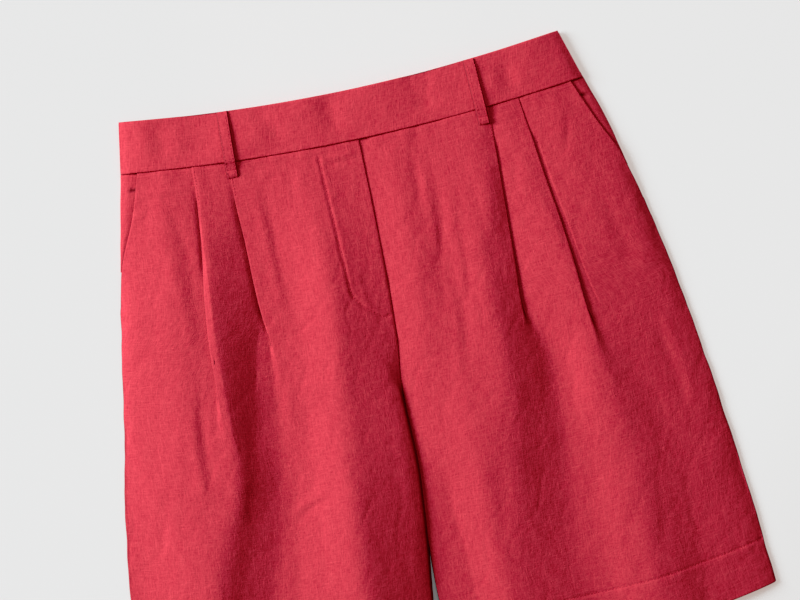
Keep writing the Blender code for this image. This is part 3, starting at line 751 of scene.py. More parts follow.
@dataclass
class Sheet:
    """A piece of cloth on a grid of rows and columns, before it gets its wall."""

    name: str
    points: Array                   # rows x columns x 3, in metres
    flat: tuple[float, float]       # the rectangle that it was cut from, in metres
    held: Held
    rests_on: tuple[str, ...] = ()
    slot: Slot = Slot.LINEN
    wall: float = CLOTH
    tucked: Array | None = None     # 0 to 1, painted shade: where the cloth turns over, and on loop sides and bar tacks
    first: int = 0                  # the column that the cloth is measured from
    face_up_at: tuple[int, int] | None = None   # where its face looks up; the middle if none

    def area(self) -> float:
        """Give the cloth's area in square metres."""
        a = self.points[1:, 1:] - self.points[:-1, :-1]
        b = self.points[1:, :-1] - self.points[:-1, 1:]
        return float(np.linalg.norm(np.cross(a, b), axis=2).sum() / 2)

    def cloth(self) -> Array:
        """Measure each point along the rows and down the grid, in metres of cloth."""
        along = np.linalg.norm(np.diff(self.points, axis=1), axis=2)
        down = np.linalg.norm(np.diff(self.points, axis=0), axis=2).mean(axis=1)
        u = np.concatenate((np.zeros((len(self.points), 1)), np.cumsum(along, axis=1)), axis=1)
        u -= u[:, self.first:self.first + 1]
        v = np.concatenate(([0.0], np.cumsum(down)))
        return np.stack((u, np.repeat(v[:, None], self.points.shape[1], axis=1)), axis=-1)

    def sew(self, room: Workroom) -> bpy.types.Object:
        """Make the piece: a grid, shaped, given its wall and its finish.

        Args:
            room: The finishes.

        Returns:
            The finished piece.
        """
        rows, columns = self.points.shape[:2]
        row, column = self.face_up_at or (rows // 2, columns // 2)
        along = Vector(self.points[row, column + 1] - self.points[row, column])
        up = Vector(self.points[row + 1, column] - self.points[row, column])
        points, cloth = self.points, self.cloth()
        tucked = np.zeros((rows, columns)) if self.tucked is None else self.tucked
        if along.cross(up).z < 0:
            points, cloth, tucked = points[:, ::-1], cloth[:, ::-1], tucked[:, ::-1]
        lay_aside()
        bpy.ops.mesh.primitive_grid_add(x_subdivisions=columns - 1, y_subdivisions=rows - 1,
                                        size=1, location=(0, 0, 0))
        piece = bpy.context.object
        piece.name = piece.data.name = f"{self.name}_cloth"
        mesh = piece.data
        mesh.vertices.foreach_set("co", np.ascontiguousarray(points, np.float32).ravel())
        corners = np.zeros(len(mesh.loops), np.int32)
        mesh.loops.foreach_get("vertex_index", corners)
        layer = mesh.uv_layers[0]
        layer.name = "cloth"
        flat = cloth.reshape(-1, 2)[corners]
        layer.data.foreach_set("uv", np.ascontiguousarray(flat, np.float32).ravel())
        # The painted shade is kept on the mesh as a point attribute, for the finish to darken the
        # colour with
        painted_shade_layer = mesh.attributes.new("tucked", "FLOAT", "POINT")
        painted_shade_layer.data.foreach_set("value", np.ascontiguousarray(tucked, np.float32).ravel())
        mesh.update()
        solid = piece.modifiers.new("Wall", "SOLIDIFY")
        solid.thickness = self.wall * MM
        solid.offset = 0.0
        bpy.ops.object.modifier_apply(modifier="Wall")
        bpy.ops.object.shade_smooth_by_angle(angle=math.radians(60))
        mesh.materials.clear()
        mesh.materials.append(room.cloths[self.slot])
        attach(piece, "root")
        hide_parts(self.name)
        LOG.info("%s: %d faces, %.4f m2 of cloth", piece.name, len(mesh.polygons), self.area())
        return piece


# ---- Fronts

@dataclass
class Front:
    """One front: two pleats, a slant pocket opening and a hem turned up inside."""

    side: Side
    folds: tuple[Fold, ...]
    creases: tuple[Crease, ...]
    shoulder_heights: tuple[float, ...]
    seam_column: int                # its column in SIDE_SEAMS and POCKET_EDGES
    seed: int
    arc_steps: int = 16
    softness: float = 5.0
    end_steps: int = 8
    edge_columns: int = 10          # columns from the shoulder to the side edge
    sunk: float = 1.4               # how far the cloth beside a turned pleat dips
    dip_width: float = 1.7
    outer_dip_end: tuple[int, int] = (118, 140)     # levels where the outer pleat's dip ends

    @property
    def name(self) -> str:
        """Give the piece's name."""
        return f"front_{self.side.name.lower()}"

    @property
    def pleats(self) -> list[int]:
        """Give the places of the turned pleats among the folds."""
        return [i for i, fold in enumerate(self.folds) if fold.name.endswith("pleat")]

    @property
    def starts(self) -> Array:
        """Give each fold's column in a section."""
        return np.cumsum([0] + [fold.columns for fold in self.folds])

    def side_seam(self, level: float) -> float:
        """Say how far out the side seam lies at a section's level."""
        curve = table_curve(SIDE_SEAMS, self.seam_column)
        down = float(lay_down(level, float(curve.at(level))))
        wave = 0.45 * float(drift(np.array([0.3]), np.array([down]), 17, self.seed + 6)[0])
        wave += 0.55 * float(drift(np.array([0.7]), np.array([down]), 44, self.seed + 7)[0])
        return float(curve.at(down)) + wave * float(ease(50, 80, down))

    def edge(self, level: float) -> tuple[float, float]:
        """Give the side edge (out, height): the pocket opening, then the side seam."""
        side = self.side_seam(level)
        down = float(lay_down(level, side))
        if down >= POCKET_EDGES[-1][0]:
            return side, EDGE_HEIGHT
        out = float(table_curve(POCKET_EDGES, self.seam_column).at(down))
        return min(out, side), float(table_curve(POCKET_EDGES, 3).at(down))

    def centre(self, level: float) -> float:
        """Say how far out the centre edge, or the inseam, lies at a level."""
        return float(Curve(LEVELS, self.folds[0].across).at(level))

    def stations(self, level: float) -> Array:
        """Give each fold's place (out, height, round) at one level."""
        pressed = 1 - float(ease(*PRESSED_TO, level))
        rows = [[float(Curve(LEVELS, values).at(level)) for values in
                 (fold.across, fold.heights, fold.rounds)] for fold in self.folds]
        for i in self.pleats:
            crest, tuck, toe = rows[i:i + 3]
            crest[1] += pressed * (toe[1] + PRESSED_STEP - crest[1])
            tuck[1] += pressed * (toe[1] - PRESSED_UNDER - tuck[1])
            crest[2] += pressed * (PRESSED_ROUND - crest[2])
            tuck[2] += pressed * (-PRESSED_ROUND - tuck[2])
        out, high = self.edge(level)
        shoulder = max(float(Curve(LEVELS, self.shoulder_heights).at(level)), high + 0.2)
        rows.append((out - SHOULDER_IN, shoulder, SHOULDER_ROUND))
        rows.append((out, high, 0.0))
        return np.array(rows)

    def pressed_edge(self, name: str, level: float) -> tuple[float, float]:
        """Give a place (across, down) just inside a pressed pleat's edge."""
        names = [fold.name for fold in self.folds]
        across = self.side.value * (float(self.stations(level)[names.index(name)][0]) - 1.2)
        return across, float(lay_down(level, across))

    def belt(self, stations: Array) -> tuple[Array, list[int]]:
        """Run the cloth's middle line over and under a chain of rounds.

        Between two rounds the line is their common tangent.

        Args:
            stations: Rows of out, height and signed radius.

        Returns:
            Rows of out, height and slope, and where each round's middle is in them.
        """
        out, high, size = (stations[:, k].copy() for k in range(3))
        for i in range(1, len(out) - 1):
            near = min(out[i] - out[i - 1], out[i + 1] - out[i])
            if near > 0:
                most = near + 4 * (1 - float(ease(0, 4, near)))
                size[i] = float(np.clip(size[i], -most, most))
        for i in range(len(out) - 1):
            # A pleat that is turned over never curls past flat
            run, fall, turn = out[i + 1] - out[i], high[i] - high[i + 1], size[i] - size[i + 1]
            most = 0.96 * fall + 2 * max(run, 0.0)
            if 0 < fall and most < turn:
                size[i:i + 2] *= most / turn
        for _ in range(6):
            keep = np.ones(len(out))
            for i in range(len(out) - 1):
                run, fall = out[i + 1] - out[i], high[i] - high[i + 1]
                turn = size[i] - size[i + 1]
                room = 0.97 * (run**2 + fall**2)
                if 2 * turn * fall > room:
                    keep[i] = min(keep[i], room / (2 * turn * fall))
                    keep[i + 1] = min(keep[i + 1], room / (2 * turn * fall))
            size *= keep
        angles = []
        for i in range(len(out) - 1):
            run, fall = out[i + 1] - out[i], high[i] - high[i + 1]
            turn = size[i] - size[i + 1]
            length = math.sqrt(max(0.0, run**2 + fall**2 - 2 * turn * fall))
            angle = math.atan2(fall - turn, run) + math.atan2(turn, length)
            angles.append(angle + 2 * math.pi if angle < -0.5 * math.pi else angle)
        line, middles = [], []
        for i in range(len(out)):
            come, leave = angles[max(i - 1, 0)], angles[min(i, len(angles) - 1)]
            middles.append(len(line) + self.arc_steps // 2)
            for slope in np.linspace(come, leave, self.arc_steps + 1):
                line.append((out[i] + size[i] * math.sin(slope),
                             high[i] - size[i] + size[i] * math.cos(slope), slope))
        return np.array(line), middles

    def section(self, level: float) -> Array:
        """Give one section's points (out, height, slope), column by column."""
        stations = self.stations(level)
        line, middles = self.belt(stations)
        counts = [fold.columns for fold in self.folds] + [self.edge_columns]
        turned = [fold.turned for fold in self.folds] + [False, False]
        parts = []
        for i, count in enumerate(counts):
            piece = line[middles[i]:middles[i + 1] + 1]
            steps = np.hypot(*np.diff(piece[:, :2], axis=0).T)
            length = np.concatenate(([0.0], np.cumsum(steps)))
            t = np.linspace(0, 1, count + 1)
            if turned[i] and turned[i + 1]:
                t = (1 - np.cos(math.pi * t)) / 2
            elif turned[i]:
                t = 1 - np.cos(math.pi * t / 2)
            elif turned[i + 1]:
                t = np.sin(math.pi * t / 2)
            elif i < len(self.folds) and self.folds[i].name.endswith("toe"):
                t = t ** 1.5
            spots = t * length[-1]
            part = np.stack([np.interp(spots, length, piece[:, k]) for k in range(3)], axis=1)
            parts.append(part if i == 0 else part[1:])
        return self.dip(self.soften(np.concatenate(parts)), level)

    def dip(self, row: Array, level: float) -> Array:
        """Let the cloth beside a turned pleat sink in under the pleat's edge.

        Args:
            row: One section's points: out, height, slope.
            level: The section's level.

        Returns:
            The same points, sunk beside the pleats.
        """
        row = row.copy()
        columns = np.arange(len(row))
        for i in self.pleats:
            crest, tuck, toe = self.starts[i:i + 3]
            edge = row[max(crest - 3, 0):tuck, 0].max() + 0.3
            deep = self.sunk * float(ease(-1, 3, edge - row[tuck, 0]))
            deep *= 0.2 + 0.8 * float(ease(58, 84, level))
            if self.folds[i].name.startswith("outer"):
                deep *= 1 - float(ease(*self.outer_dip_end, level))
            beyond = np.maximum(row[:, 0] - edge, 0) / self.dip_width
            row[:, 1] -= deep * ease(tuck, toe, columns) * np.exp(-beyond ** 2)
        return row

    def soften(self, row: Array) -> Array:
        """Let the cloth round off between its folds, but not where a pleat is turned over.

        Args:
            row: One section's points: out, height, slope.

        Returns:
            The same points, softened.
        """
        steps = np.hypot(*np.diff(row[:, :2], axis=0).T)
        length = np.concatenate(([0.0], np.cumsum(steps)))
        free = ease(0, 8, np.minimum(length, length[-1] - length))
        for i in self.pleats:
            crest, tuck, toe = self.starts[i:i + 3]
            opened = float(ease(1.0, 13.0, row[tuck, 0] - row[crest, 0]))
            aside = np.maximum(length[crest] - length, length - length[toe])
            free = free * np.maximum(opened, ease(1.0, 14.0, aside))
        reach = np.maximum(self.softness * free, 1e-3)
        share = np.gradient(length)
        near = np.exp(-((length[:, None] - length[None, :]) / reach[:, None]) ** 2 / 2)
        near = near * share[None, :]
        near /= near.sum(axis=1, keepdims=True)
        soft = near @ row[:, :2]
        lean = np.arctan2(-np.gradient(soft[:, 1]), np.gradient(soft[:, 0])) - row[:, 2]
        lean = row[:, 2] + (lean + math.pi) % (2 * math.pi) - math.pi
        held = (free < 0.02) | (np.arange(len(row)) < 1) | (np.arange(len(row)) > len(row) - 2)
        return np.column_stack((soft, np.where(held, row[:, 2], lean)))

    def turned_edge(self, start: Array, way: int, angle: float, radius: float,
                    run: float) -> Array:
        """Curl an edge under.

        Args:
            start: The edge point: out, height, slope.
            way: 1 at the side edge, -1 at the centre edge.
            angle: How far it curls: half pi for a seam's edge, pi for a folded one.
            radius: The curl's radius.
            run: How far it runs on after the curl.

        Returns:
            The curl's points: out, height, slope.
        """
        first = max(0.0, way * start[2])
        out, high = start[0], start[1]
        angles = np.linspace(first, max(angle, first), 6)
        rows = []
        for a, b in zip(angles[:-1], angles[1:]):
            out += way * radius * (math.sin(b) - math.sin(a))
            high -= radius * (math.cos(a) - math.cos(b))
            rows.append((out, high, way * b))
        for _ in range(self.end_steps - 5):
            out += way * math.cos(angles[-1]) * run / (self.end_steps - 5)
            high -= math.sin(angles[-1]) * run / (self.end_steps - 5)
            rows.append((out, high, way * angles[-1]))
        return np.array(rows)

    def centre_end(self, start: Array, level: float) -> Array:
        """Finish the centre edge at a level: the fly's edge or underlap, then the inseam."""
        parted = float(ease(CROTCH_FROM, CROTCH_TO, level))
        seam = self.turned_edge(start, -1, math.pi / 2, 0.8, 0.3)
        if self.side is Side.RIGHT:
            fly = self.turned_edge(start, -1, math.pi, 0.5, 11.0)
        else:
            steps = np.arange(1, self.end_steps + 1)
            drop = 1.5 * ease(0, 3, steps)
            fly = np.stack((start[0] - 1.3 * steps, start[1] - drop, 0 * drop), axis=1)
        return (1 - parted) * fly + parted * seam

    def side_end(self, start: Array, level: float) -> Array:
        """Finish the side edge at a level: the pocket's folded edge, then the side seam."""
        closed = float(ease(104, 136, lay_down(level, self.side_seam(level))))
        seam = self.turned_edge(start, 1, math.pi / 2, 0.8, 0.3)
        opening = self.turned_edge(start, 1, math.pi, 0.45, 8.0)
        return (1 - closed) * opening + closed * seam

    def levels(self) -> Array:
        """Give the levels of the sheet's rows, closer at the seams and the fly's end."""
        hem = HEM_DOWN - HEM_DEPTH
        return np.concatenate((
            [38.0, 40.0, 41.4, 42.3, 43.0, 43.6, 44.4, 45.6, 47.2, 49.5],
            np.arange(52.0, 178, 2.55), np.arange(179.0, 197, 1.4),
            np.arange(198.5, hem - 3, 2.6),
            hem + np.array([-2.2, -1.1, -0.5, 0.0, 0.5, 1.1, 2.2, 4.0]),
            np.arange(hem + 6.5, HEM_DOWN - 1.2, 2.6),
            [HEM_DOWN - 0.6, HEM_DOWN]))

    def relief(self, across: Array, down: Array, level: Array) -> Array:
        """Say how far the cloth stands off its plain form: creases, seams and crumple.

        Args:
            across: Where, across.
            down: Where, down.
            level: Each row's level.

        Returns:
            How far it stands out along its own normal, in millimetres.
        """
        rise = np.zeros_like(across)
        for crease in self.creases:
            rise += crease.rise(across, down, 0.15)
        # Washed cloth: broad unevenness, lumps, and small creases with sharper bottoms
        loose = 0.45 + 0.55 * ease(60, 150, down)
        rise += 0.42 * loose * drift(across, down, 46, self.seed, 2.4)
        rise += 0.20 * loose * drift(across, down, 19, self.seed + 1, 1.8, 12)
        rise += 0.085 * drift(across, down, 8.5, self.seed + 2, 1.3, -18)
        sharp = np.abs(drift(across, down, 26, self.seed + 3, 1.7, 35))
        rise -= 0.22 * np.maximum(0.0, 1 - sharp / 0.16) * loose
        # Small puckers below the waistband seam
        under = down - seam_line(across)
        pucker = drift(across, down * 0.2, 9.5, self.seed + 4, 3.0)
        rise += 0.50 * pucker * np.exp(-(under / 15.0) ** 2)
        # The ridge that the waistband's seam allowance makes
        rise += 0.22 * np.exp(-((under - 3.2) / 1.8) ** 2)
        # The hem: a sewn groove, and twice the cloth below it
        under = level - (HEM_DOWN - HEM_DEPTH)
        rise -= 0.28 * np.exp(-(under / 0.9) ** 2)
        rise += 0.22 * ease(0.3, 2.5, under)
        hem_pucker = drift(across, down * 0.3, 7.0, self.seed + 5, 2.0, 25)
        rise += 0.10 * hem_pucker * np.exp(-(under / 9.0) ** 2)
        if self.side is Side.RIGHT:
            rise += self.fly_relief(across, down)
        return rise

    def fly_relief(self, across: Array, down: Array) -> Array:
        """Say how the fly's J-shaped row of stitches draws the cloth in."""
        gap = fly_distance(across, down)
        sewn = (1 - ease(0.0, 1.0, (down - FLY_END) / 3.0)) * ease(46, 52, down)
        groove = -0.50 * np.exp(-(gap / 1.1) ** 2) + 0.16 * np.exp(-((gap - 3.0) / 1.8) ** 2)
        pucker = 0.12 * drift(across, down, 6.0, 71, 1.0) * np.exp(-(gap / 6.0) ** 2)
        return (groove + pucker) * sewn * (across > -60) * (across < 1.5)

    def build(self, room: Workroom) -> bpy.types.Object:
        """Make the front.

        Args:
            room: The finishes.

        Returns:
            The finished piece.
        """
        levels = self.levels()
        rows = []
        for level in levels:
            middle = self.section(float(level))
            start = self.centre_end(middle[0], float(level))[::-1]
            rows.append(np.concatenate((start, middle, self.side_end(middle[-1], float(level)))))
        grid = np.array(rows)
        out, high, slope = grid[..., 0], grid[..., 1], grid[..., 2]
        across = self.side.value * out
        level = np.repeat(levels[:, None], out.shape[1], axis=1)
        down = lay_down(level, across)
        face = np.ones(out.shape[1])
        face[:self.end_steps] = face[-self.end_steps:] = 0.0
        face[self.end_steps] = face[-self.end_steps - 1] = 0.5
        rise = self.relief(across, down, level) * face
        high = high + rise * np.cos(slope) - self.sink(down, across)
        across = across + self.side.value * rise * np.sin(slope)
        hem = self.hem_return(across[-1], down[-1], high[-1], slope[-1])
        points = np.concatenate((placed(across, down, high), hem))
        # Painted shade where the cloth slopes steeply or turns over: pleat edges, the centre and
        # pocket edges and curled seams
        tucked = np.zeros(points.shape[:2])
        tucked[:len(slope)] = ease(0.45, 1.1, np.abs(slope))
        return Sheet(self.name, points, (0.34, 0.52), Held.FOLDED,
                     (f"back_{self.side.name.lower()}",), tucked=tucked,
                     first=self.end_steps).sew(room)

    def sink(self, down: Array, across: Array) -> Array:
        """Lower the cloth where it goes in below the waistband."""
        return SEAM_SINK * (1 - ease(-1.6, 0.5, down - seam_line(across)))

    def hem_return(self, across: Array, down: Array, high: Array, slope: Array) -> Array:
        """Turn the hem up inside.

        Args:
            across: The hem edge's places across.
            down: Its places down.
            high: Its heights.
            slope: Its slopes.

        Returns:
            The points of the fold's rows and of the turned-up part's rows.
        """
        room_below = np.maximum(high - HEM_FLOOR - 0.07, 0.0)
        radius = np.clip(room_below / 2, 0.05, 0.52)
        last = self.end_steps
        centre, side = across[last], across[-last - 1]
        inside = np.clip(across, min(centre, side) + 1.2, max(centre, side) - 1.2)
        rows = []
        for angle in np.radians((40, 80, 120, 160, 180)):
            share = angle / math.pi
            x = across + (inside - across) * share
            z = high - radius * (1 - math.cos(angle)) * np.cos(slope)
            rows.append(placed(x, down + 0.55 * math.sin(angle), np.maximum(z, HEM_FLOOR)))
        for up in (3.0, 10.0, 18.0, 26.0, 33.0, HEM_DEPTH):
            z = high - 2 * radius * np.cos(slope)
            lean = up / (HEM_DOWN - SEAM_DOWN)
            x = inside * (1 - 0.1 * lean)
            rows.append(placed(x, down - up, np.maximum(z, HEM_FLOOR)))
        return np.array(rows)


def fly_path() -> Array:
    """Give the fly's J-shaped row of stitches: across and down, from the waist on."""
    straight = [(-FLY_WIDTH + 0.028 * (d - 50), d) for d in np.arange(50.0, FLY_STRAIGHT, 3.0)]
    far = -FLY_WIDTH + 0.028 * (FLY_STRAIGHT - 50)
    bend = []
    for t in np.linspace(0, 1, 16):
        angle = t * math.pi / 2
        bend.append((far * (1 - 0.78 * math.sin(angle) ** 1.3),
                     FLY_STRAIGHT + (FLY_END - FLY_STRAIGHT) * math.sin(angle) ** 0.8))
    tail = [(-5.0, FLY_END - 0.4), (-2.2, FLY_END - 1.8)]
    return np.array(straight + bend + tail)


def fly_distance(across: Array, down: Array) -> Array:
    """Measure how far each place is from the fly's row of stitches."""
    path = fly_path()
    best = np.full(across.shape, 1e9)
    for a, b in zip(path[:-1], path[1:]):
        run = b - a
        t = ((across - a[0]) * run[0] + (down - a[1]) * run[1]) / float(run @ run)
        t = np.clip(t, 0, 1)
        gap = np.hypot(across - a[0] - t * run[0], down - a[1] - t * run[1])
        best = np.minimum(best, gap)
    return best


# ---- Backs

@dataclass
class Back:
    """One back, flat on the surface, with its seam edges curled up to the front's."""

    front: Front
    columns: int = 60
    wall: float = 0.6
    curl: float = 2.2               # width of its curled edges, and how far they rise
    curl_rise: float = 0.55
    hem_turn: tuple[float, float, float] = (0.0, -0.35, 0.2)    # the hem's folded end

    @property
    def name(self) -> str:
        """Give the piece's name."""
        return f"back_{self.front.side.name.lower()}"

    def build(self, room: Workroom) -> bpy.types.Object:
        """Make the back.

        Args:
            room: The finishes.

        Returns:
            The finished piece.
        """
        levels = np.concatenate(([38.0, 43.3], np.arange(48.0, HEM_DOWN - 1, 6.0),
                                 [HEM_DOWN - 0.4]))
        t = np.linspace(0, 1, self.columns)
        t = t - 0.06 * np.sin(2 * math.pi * t)
        rows = []
        for level in levels:
            start, end = self.front.centre(float(level)), self.front.side_seam(float(level))
            out = start + (end - start) * t
            lift = self.curl_rise * (ease(0, self.curl, self.curl - (out - start))
                                     + ease(0, self.curl, self.curl - (end - out)))
            across = self.front.side.value * out
            rows.append(placed(across, lay_down(level, across), LOWEST + lift))
        hem_fold = rows[-1] + np.array(self.hem_turn) * MM
        return Sheet(self.name, np.array([*rows, hem_fold]), (0.30, 0.50), Held.LAID,
                     slot=Slot.LINEN_INSIDE, wall=self.wall).sew(room)


# ---- Waistbands

@dataclass
class Waistband:
    """The plain wide waistband: a front band folded over at the top, on a back band."""

    top_round: float = 0.75
    low_round: float = 0.8          # the front band's lower edge, curled in to the seam
    seam_sunk: float = 0.35
    back_low: float = 0.8           # how far down the back band's top edge lies
    back_high: float = 1.5          # the back band's upper layer
    columns: int = 190
    heights_top: Curve = field(default_factory=lambda: table_curve(BAND_HEIGHTS, 1))
    heights_seam: Curve = field(default_factory=lambda: table_curve(BAND_HEIGHTS, 2))

    def shares(self) -> Array:
        """Give the columns' places as shares of the half width, closer at the ends."""
        even = np.linspace(-1, 1, self.columns)
        return np.sin(np.linspace(-math.pi / 2, math.pi / 2, self.columns)) * 0.45 + even * 0.55

    def middle(self, share: Array, drop: float) -> tuple[Array, Array, Array]:
        """Give places on the middle of the front band's wall.

        Args:
            share: Places across, from -1 to 1.
            drop: How far down the band, from 0 to 1.

        Returns:
            Across, down and height.
        """
        across = share * (WAIST_HALF + (SEAM_HALF - WAIST_HALF) * drop) - TOP_SHIFT * (1 - drop)
        across = across - DRAWN_IN * np.maximum(share, 0.0)
        down = waist_line(across) + (seam_line(across) - 0.3 - waist_line(across)) * drop
        top = self.heights_top.at(share)
        seam = self.heights_seam.at(share) - self.seam_sunk
        return across, down, top + (seam - top) * math.sin(drop * math.pi / 2)

    def unevenness(self, across: Array, down: Array) -> Array:
        """Say how the band waves and wrinkles."""
        rise = 1.25 * drift(across, down, 46, 11, 1.4, 20)
        rise += 0.32 * drift(across, down, 20, 12, 1.2, 28)
        rise += 0.06 * drift(across, down, 8, 13, 1.0, -20)
        for crease in BAND_CREASES:
            rise += crease.rise(across, down, 0.2)
        return rise

    def build_front(self, room: Workroom) -> bpy.types.Object:
        """Make the front band: up inside, over the top edge and down to the seam."""
        share = self.shares()
        half = 0.6                  # from the band's middle to each of its layers
        rows = []
        for drop in (0.97, 0.8, 0.55, 0.3, 0.12):
            across, down, high = self.middle(share, drop)
            rows.append((across, down, high - half, -1.0))
        for angle in np.radians((-90, -60, -30, 0, 30, 60, 90)):
            across, down, high = self.middle(share, 0.0)
            rows.append((across, down + self.top_round * (1 - math.cos(angle)),
                         high + half * math.sin(angle), math.sin(angle)))
        for drop in np.concatenate((np.linspace(0.05, 0.94, 30), [0.965, 0.98])):
            across, down, high = self.middle(share, float(drop))
            rows.append((across, down, high + half, 1.0))
        for angle in np.radians((25, 50, 75, 90)):
            across, down, high = self.middle(share, 1.0)
            rows.append((across, down - self.low_round * (1 - math.sin(angle)),
                         high + half - self.low_round * (1 - math.cos(angle)), 1.0))
        points = []
        for across, down, high, layer in rows:
            rise = self.unevenness(across, np.asarray(down)) if layer > 0 else 0.0
            ends = 1 - ease(0.93, 1.0, np.abs(share))
            ends = ends * (1 - 0.85 * ease(26, 41, down + SEAM_DOWN - seam_line(across)))
            over = np.maximum(high + rise * ends * max(layer, 0.0), 2.3)
            points.append(placed(across, down, over))
        return Sheet("waistband_front", np.array(points), BAND_CUT, Held.FOLDED,
                     ("waistband_back",), wall=BAND_WALL, face_up_at=(28, 90)).sew(room)

    def build_back(self, room: Workroom) -> bpy.types.Object:
        """Make the back band, double and flat on the surface."""
        share = self.shares()[::2]
        drops = (0.02, 0.2, 0.6, 0.97)
        base = CLOTH / 2
        rows = []
        for drop in drops[::-1]:
            across, down, _ = self.middle(share, drop)
            rows.append(placed(across, down + self.back_low * (1 - drop),
                               np.full(len(share), base)))
        across, down, _ = self.middle(share, 0.0)
        for lift in (0.35, 0.7, 1.1):
            bulge = 0.25 * math.sin(lift / 1.4 * math.pi)
            rows.append(placed(across, down + self.back_low - bulge,
                               np.full(len(share), base + lift)))
        for drop in drops:
            across, down, _ = self.middle(share, drop)
            wave = 0.12 * drift(across, down, 30, 17)
            rows.append(placed(across, down + self.back_low * (1 - drop),
                               self.back_high + wave))
        return Sheet("waistband_back", np.array(rows), BAND_CUT, Held.FOLDED,
                     slot=Slot.LINEN_INSIDE, wall=BAND_WALL, face_up_at=(8, 40)).sew(room)


# ---- Small pieces

def top_of(piece: bpy.types.Object, across: float, down: float) -> tuple[Vector, Vector] | None:
    """Find the top of a piece and which way it faces there.

    Args:
        piece: The piece to look down on.
        across: Where, across, in millimetres.
        down: Where, down, in millimetres.

    Returns:
        The point and the normal, or None where the piece isn't there.
    """
    above = Vector(placed(across, down, 60.0).tolist())
    found, point, normal, _ = piece.ray_cast(above, Vector((0, 0, -1)))
    return (point, normal) if found else None


@dataclass
class HipPiece:
    """The piece of the hip that shows under a slant pocket opening."""

    front: Front
    tuck: float = 14.0              # how far it runs in behind the front's edge
    end: float = 127.0
    under: float = 2.0              # how far it lies below the front's edge
    swell: float = 0.9
    wall: float = 0.6
    tack_in: float = 3.2            # the bar tack's middle, out from the edge and down
    tack_down: float = 45.4
    tack_half: float = 3.4
    tack_round: float = 1.3

    @property
    def name(self) -> str:
        """Give the piece's name."""
        return f"pocket_{self.front.side.name.lower()}"

    def build(self, room: Workroom) -> bpy.types.Object:
        """Make the hip piece.

        Args:
            room: The finishes.

        Returns:
            The finished piece.
        """
        rows, tack = [], []
        for level in np.concatenate(([38.0, 41.0, 42.5, 43.3, 44.0, 44.6, 45.2, 45.8, 46.5, 47.4],
                                     np.arange(49.0, self.end, 2.6))):
            level = float(level)
            middle = self.front.section(level)
            edge, edge_height = self.front.edge(level)
            seam = max(self.front.side_seam(level), edge + 0.3)
            inner = np.linspace(edge - self.tuck, edge - 1.0, 12)
            tail = middle[-24:]
            inner_high = np.interp(inner, tail[:, 0], tail[:, 1]) - self.under
            outer = np.linspace(edge - 0.2, seam, 14)
            share = (outer - edge) / (seam - edge)
            swell = (self.swell * min(1.0, (seam - edge) / 8)
                     * np.sin(np.clip(share, 0, 1) * math.pi))
            outer_high = (edge_height - self.under) * (1 - share) + 2.0 * share + swell
            out = np.concatenate((inner, outer))
            high = np.maximum(np.concatenate((inner_high, outer_high)), 1.75)
            curl = self.front.turned_edge(np.array([out[-1], high[-1], 0.7]), 1,
                                          math.pi / 2, 0.7, 0.3)
            out = np.concatenate((out, curl[:, 0]))
            high = np.concatenate((high, curl[:, 1]))
            across = self.front.side.value * out
            down = lay_down(level, across)
            under_seam = down - seam_line(across)
            high = high - 0.9 * (1 - ease(-0.6, 2.2, under_seam))
            high = high + 0.12 * drift(across, down, 7.0, 41, 1.6)
            # A bar tack holds the opening's top end and draws the cloth in; its dent also gets
            # painted shade
            tack.append(np.exp(-((out - edge - self.tack_in) / self.tack_half) ** 4
                               - ((down - self.tack_down) / self.tack_round) ** 2))
            high = high - 0.9 * tack[-1]
            rows.append(placed(across, down, np.maximum(high, 0.95)))
        return Sheet(self.name, np.array(rows), (0.05, 0.10), Held.LAID,
                     (f"back_{self.front.side.name.lower()}",), wall=self.wall,
                     tucked=np.array(tack)).sew(room)


@dataclass
class FlyPlacket:
    """The J-ended placket under the right front's centre edge."""

    front: Front
    under: float = 1.85             # how far it lies below the front
    inset: float = 1.2
    wall: float = 0.55

    def build(self, room: Workroom) -> bpy.types.Object:
        """Make the placket.

        Args:
            room: The finishes.

        Returns:
            The finished piece.
        """
        rows = []
        for level in np.concatenate((np.arange(44.5, 168, 6.0), np.linspace(170, 193, 12))):
            level = float(level)
            middle = self.front.section(level)
            bend = max(0.0, (level - FLY_STRAIGHT) / (FLY_END - FLY_STRAIGHT))
            width = (FLY_WIDTH - 1.5) * math.sqrt(max(0.02, 1 - bend**2))
            out = self.front.centre(level) + self.inset + np.linspace(0, width, 16)
            head = middle[:40]
            high = np.interp(out, head[:, 0], head[:, 1]) - self.under
            across = self.front.side.value * out
            rows.append(placed(across, lay_down(level, across), high))
        return Sheet("fly", np.array(rows), (0.04, 0.155), Held.LAID, ("front_left",),
                     slot=Slot.LINEN_INSIDE, wall=self.wall).sew(room)


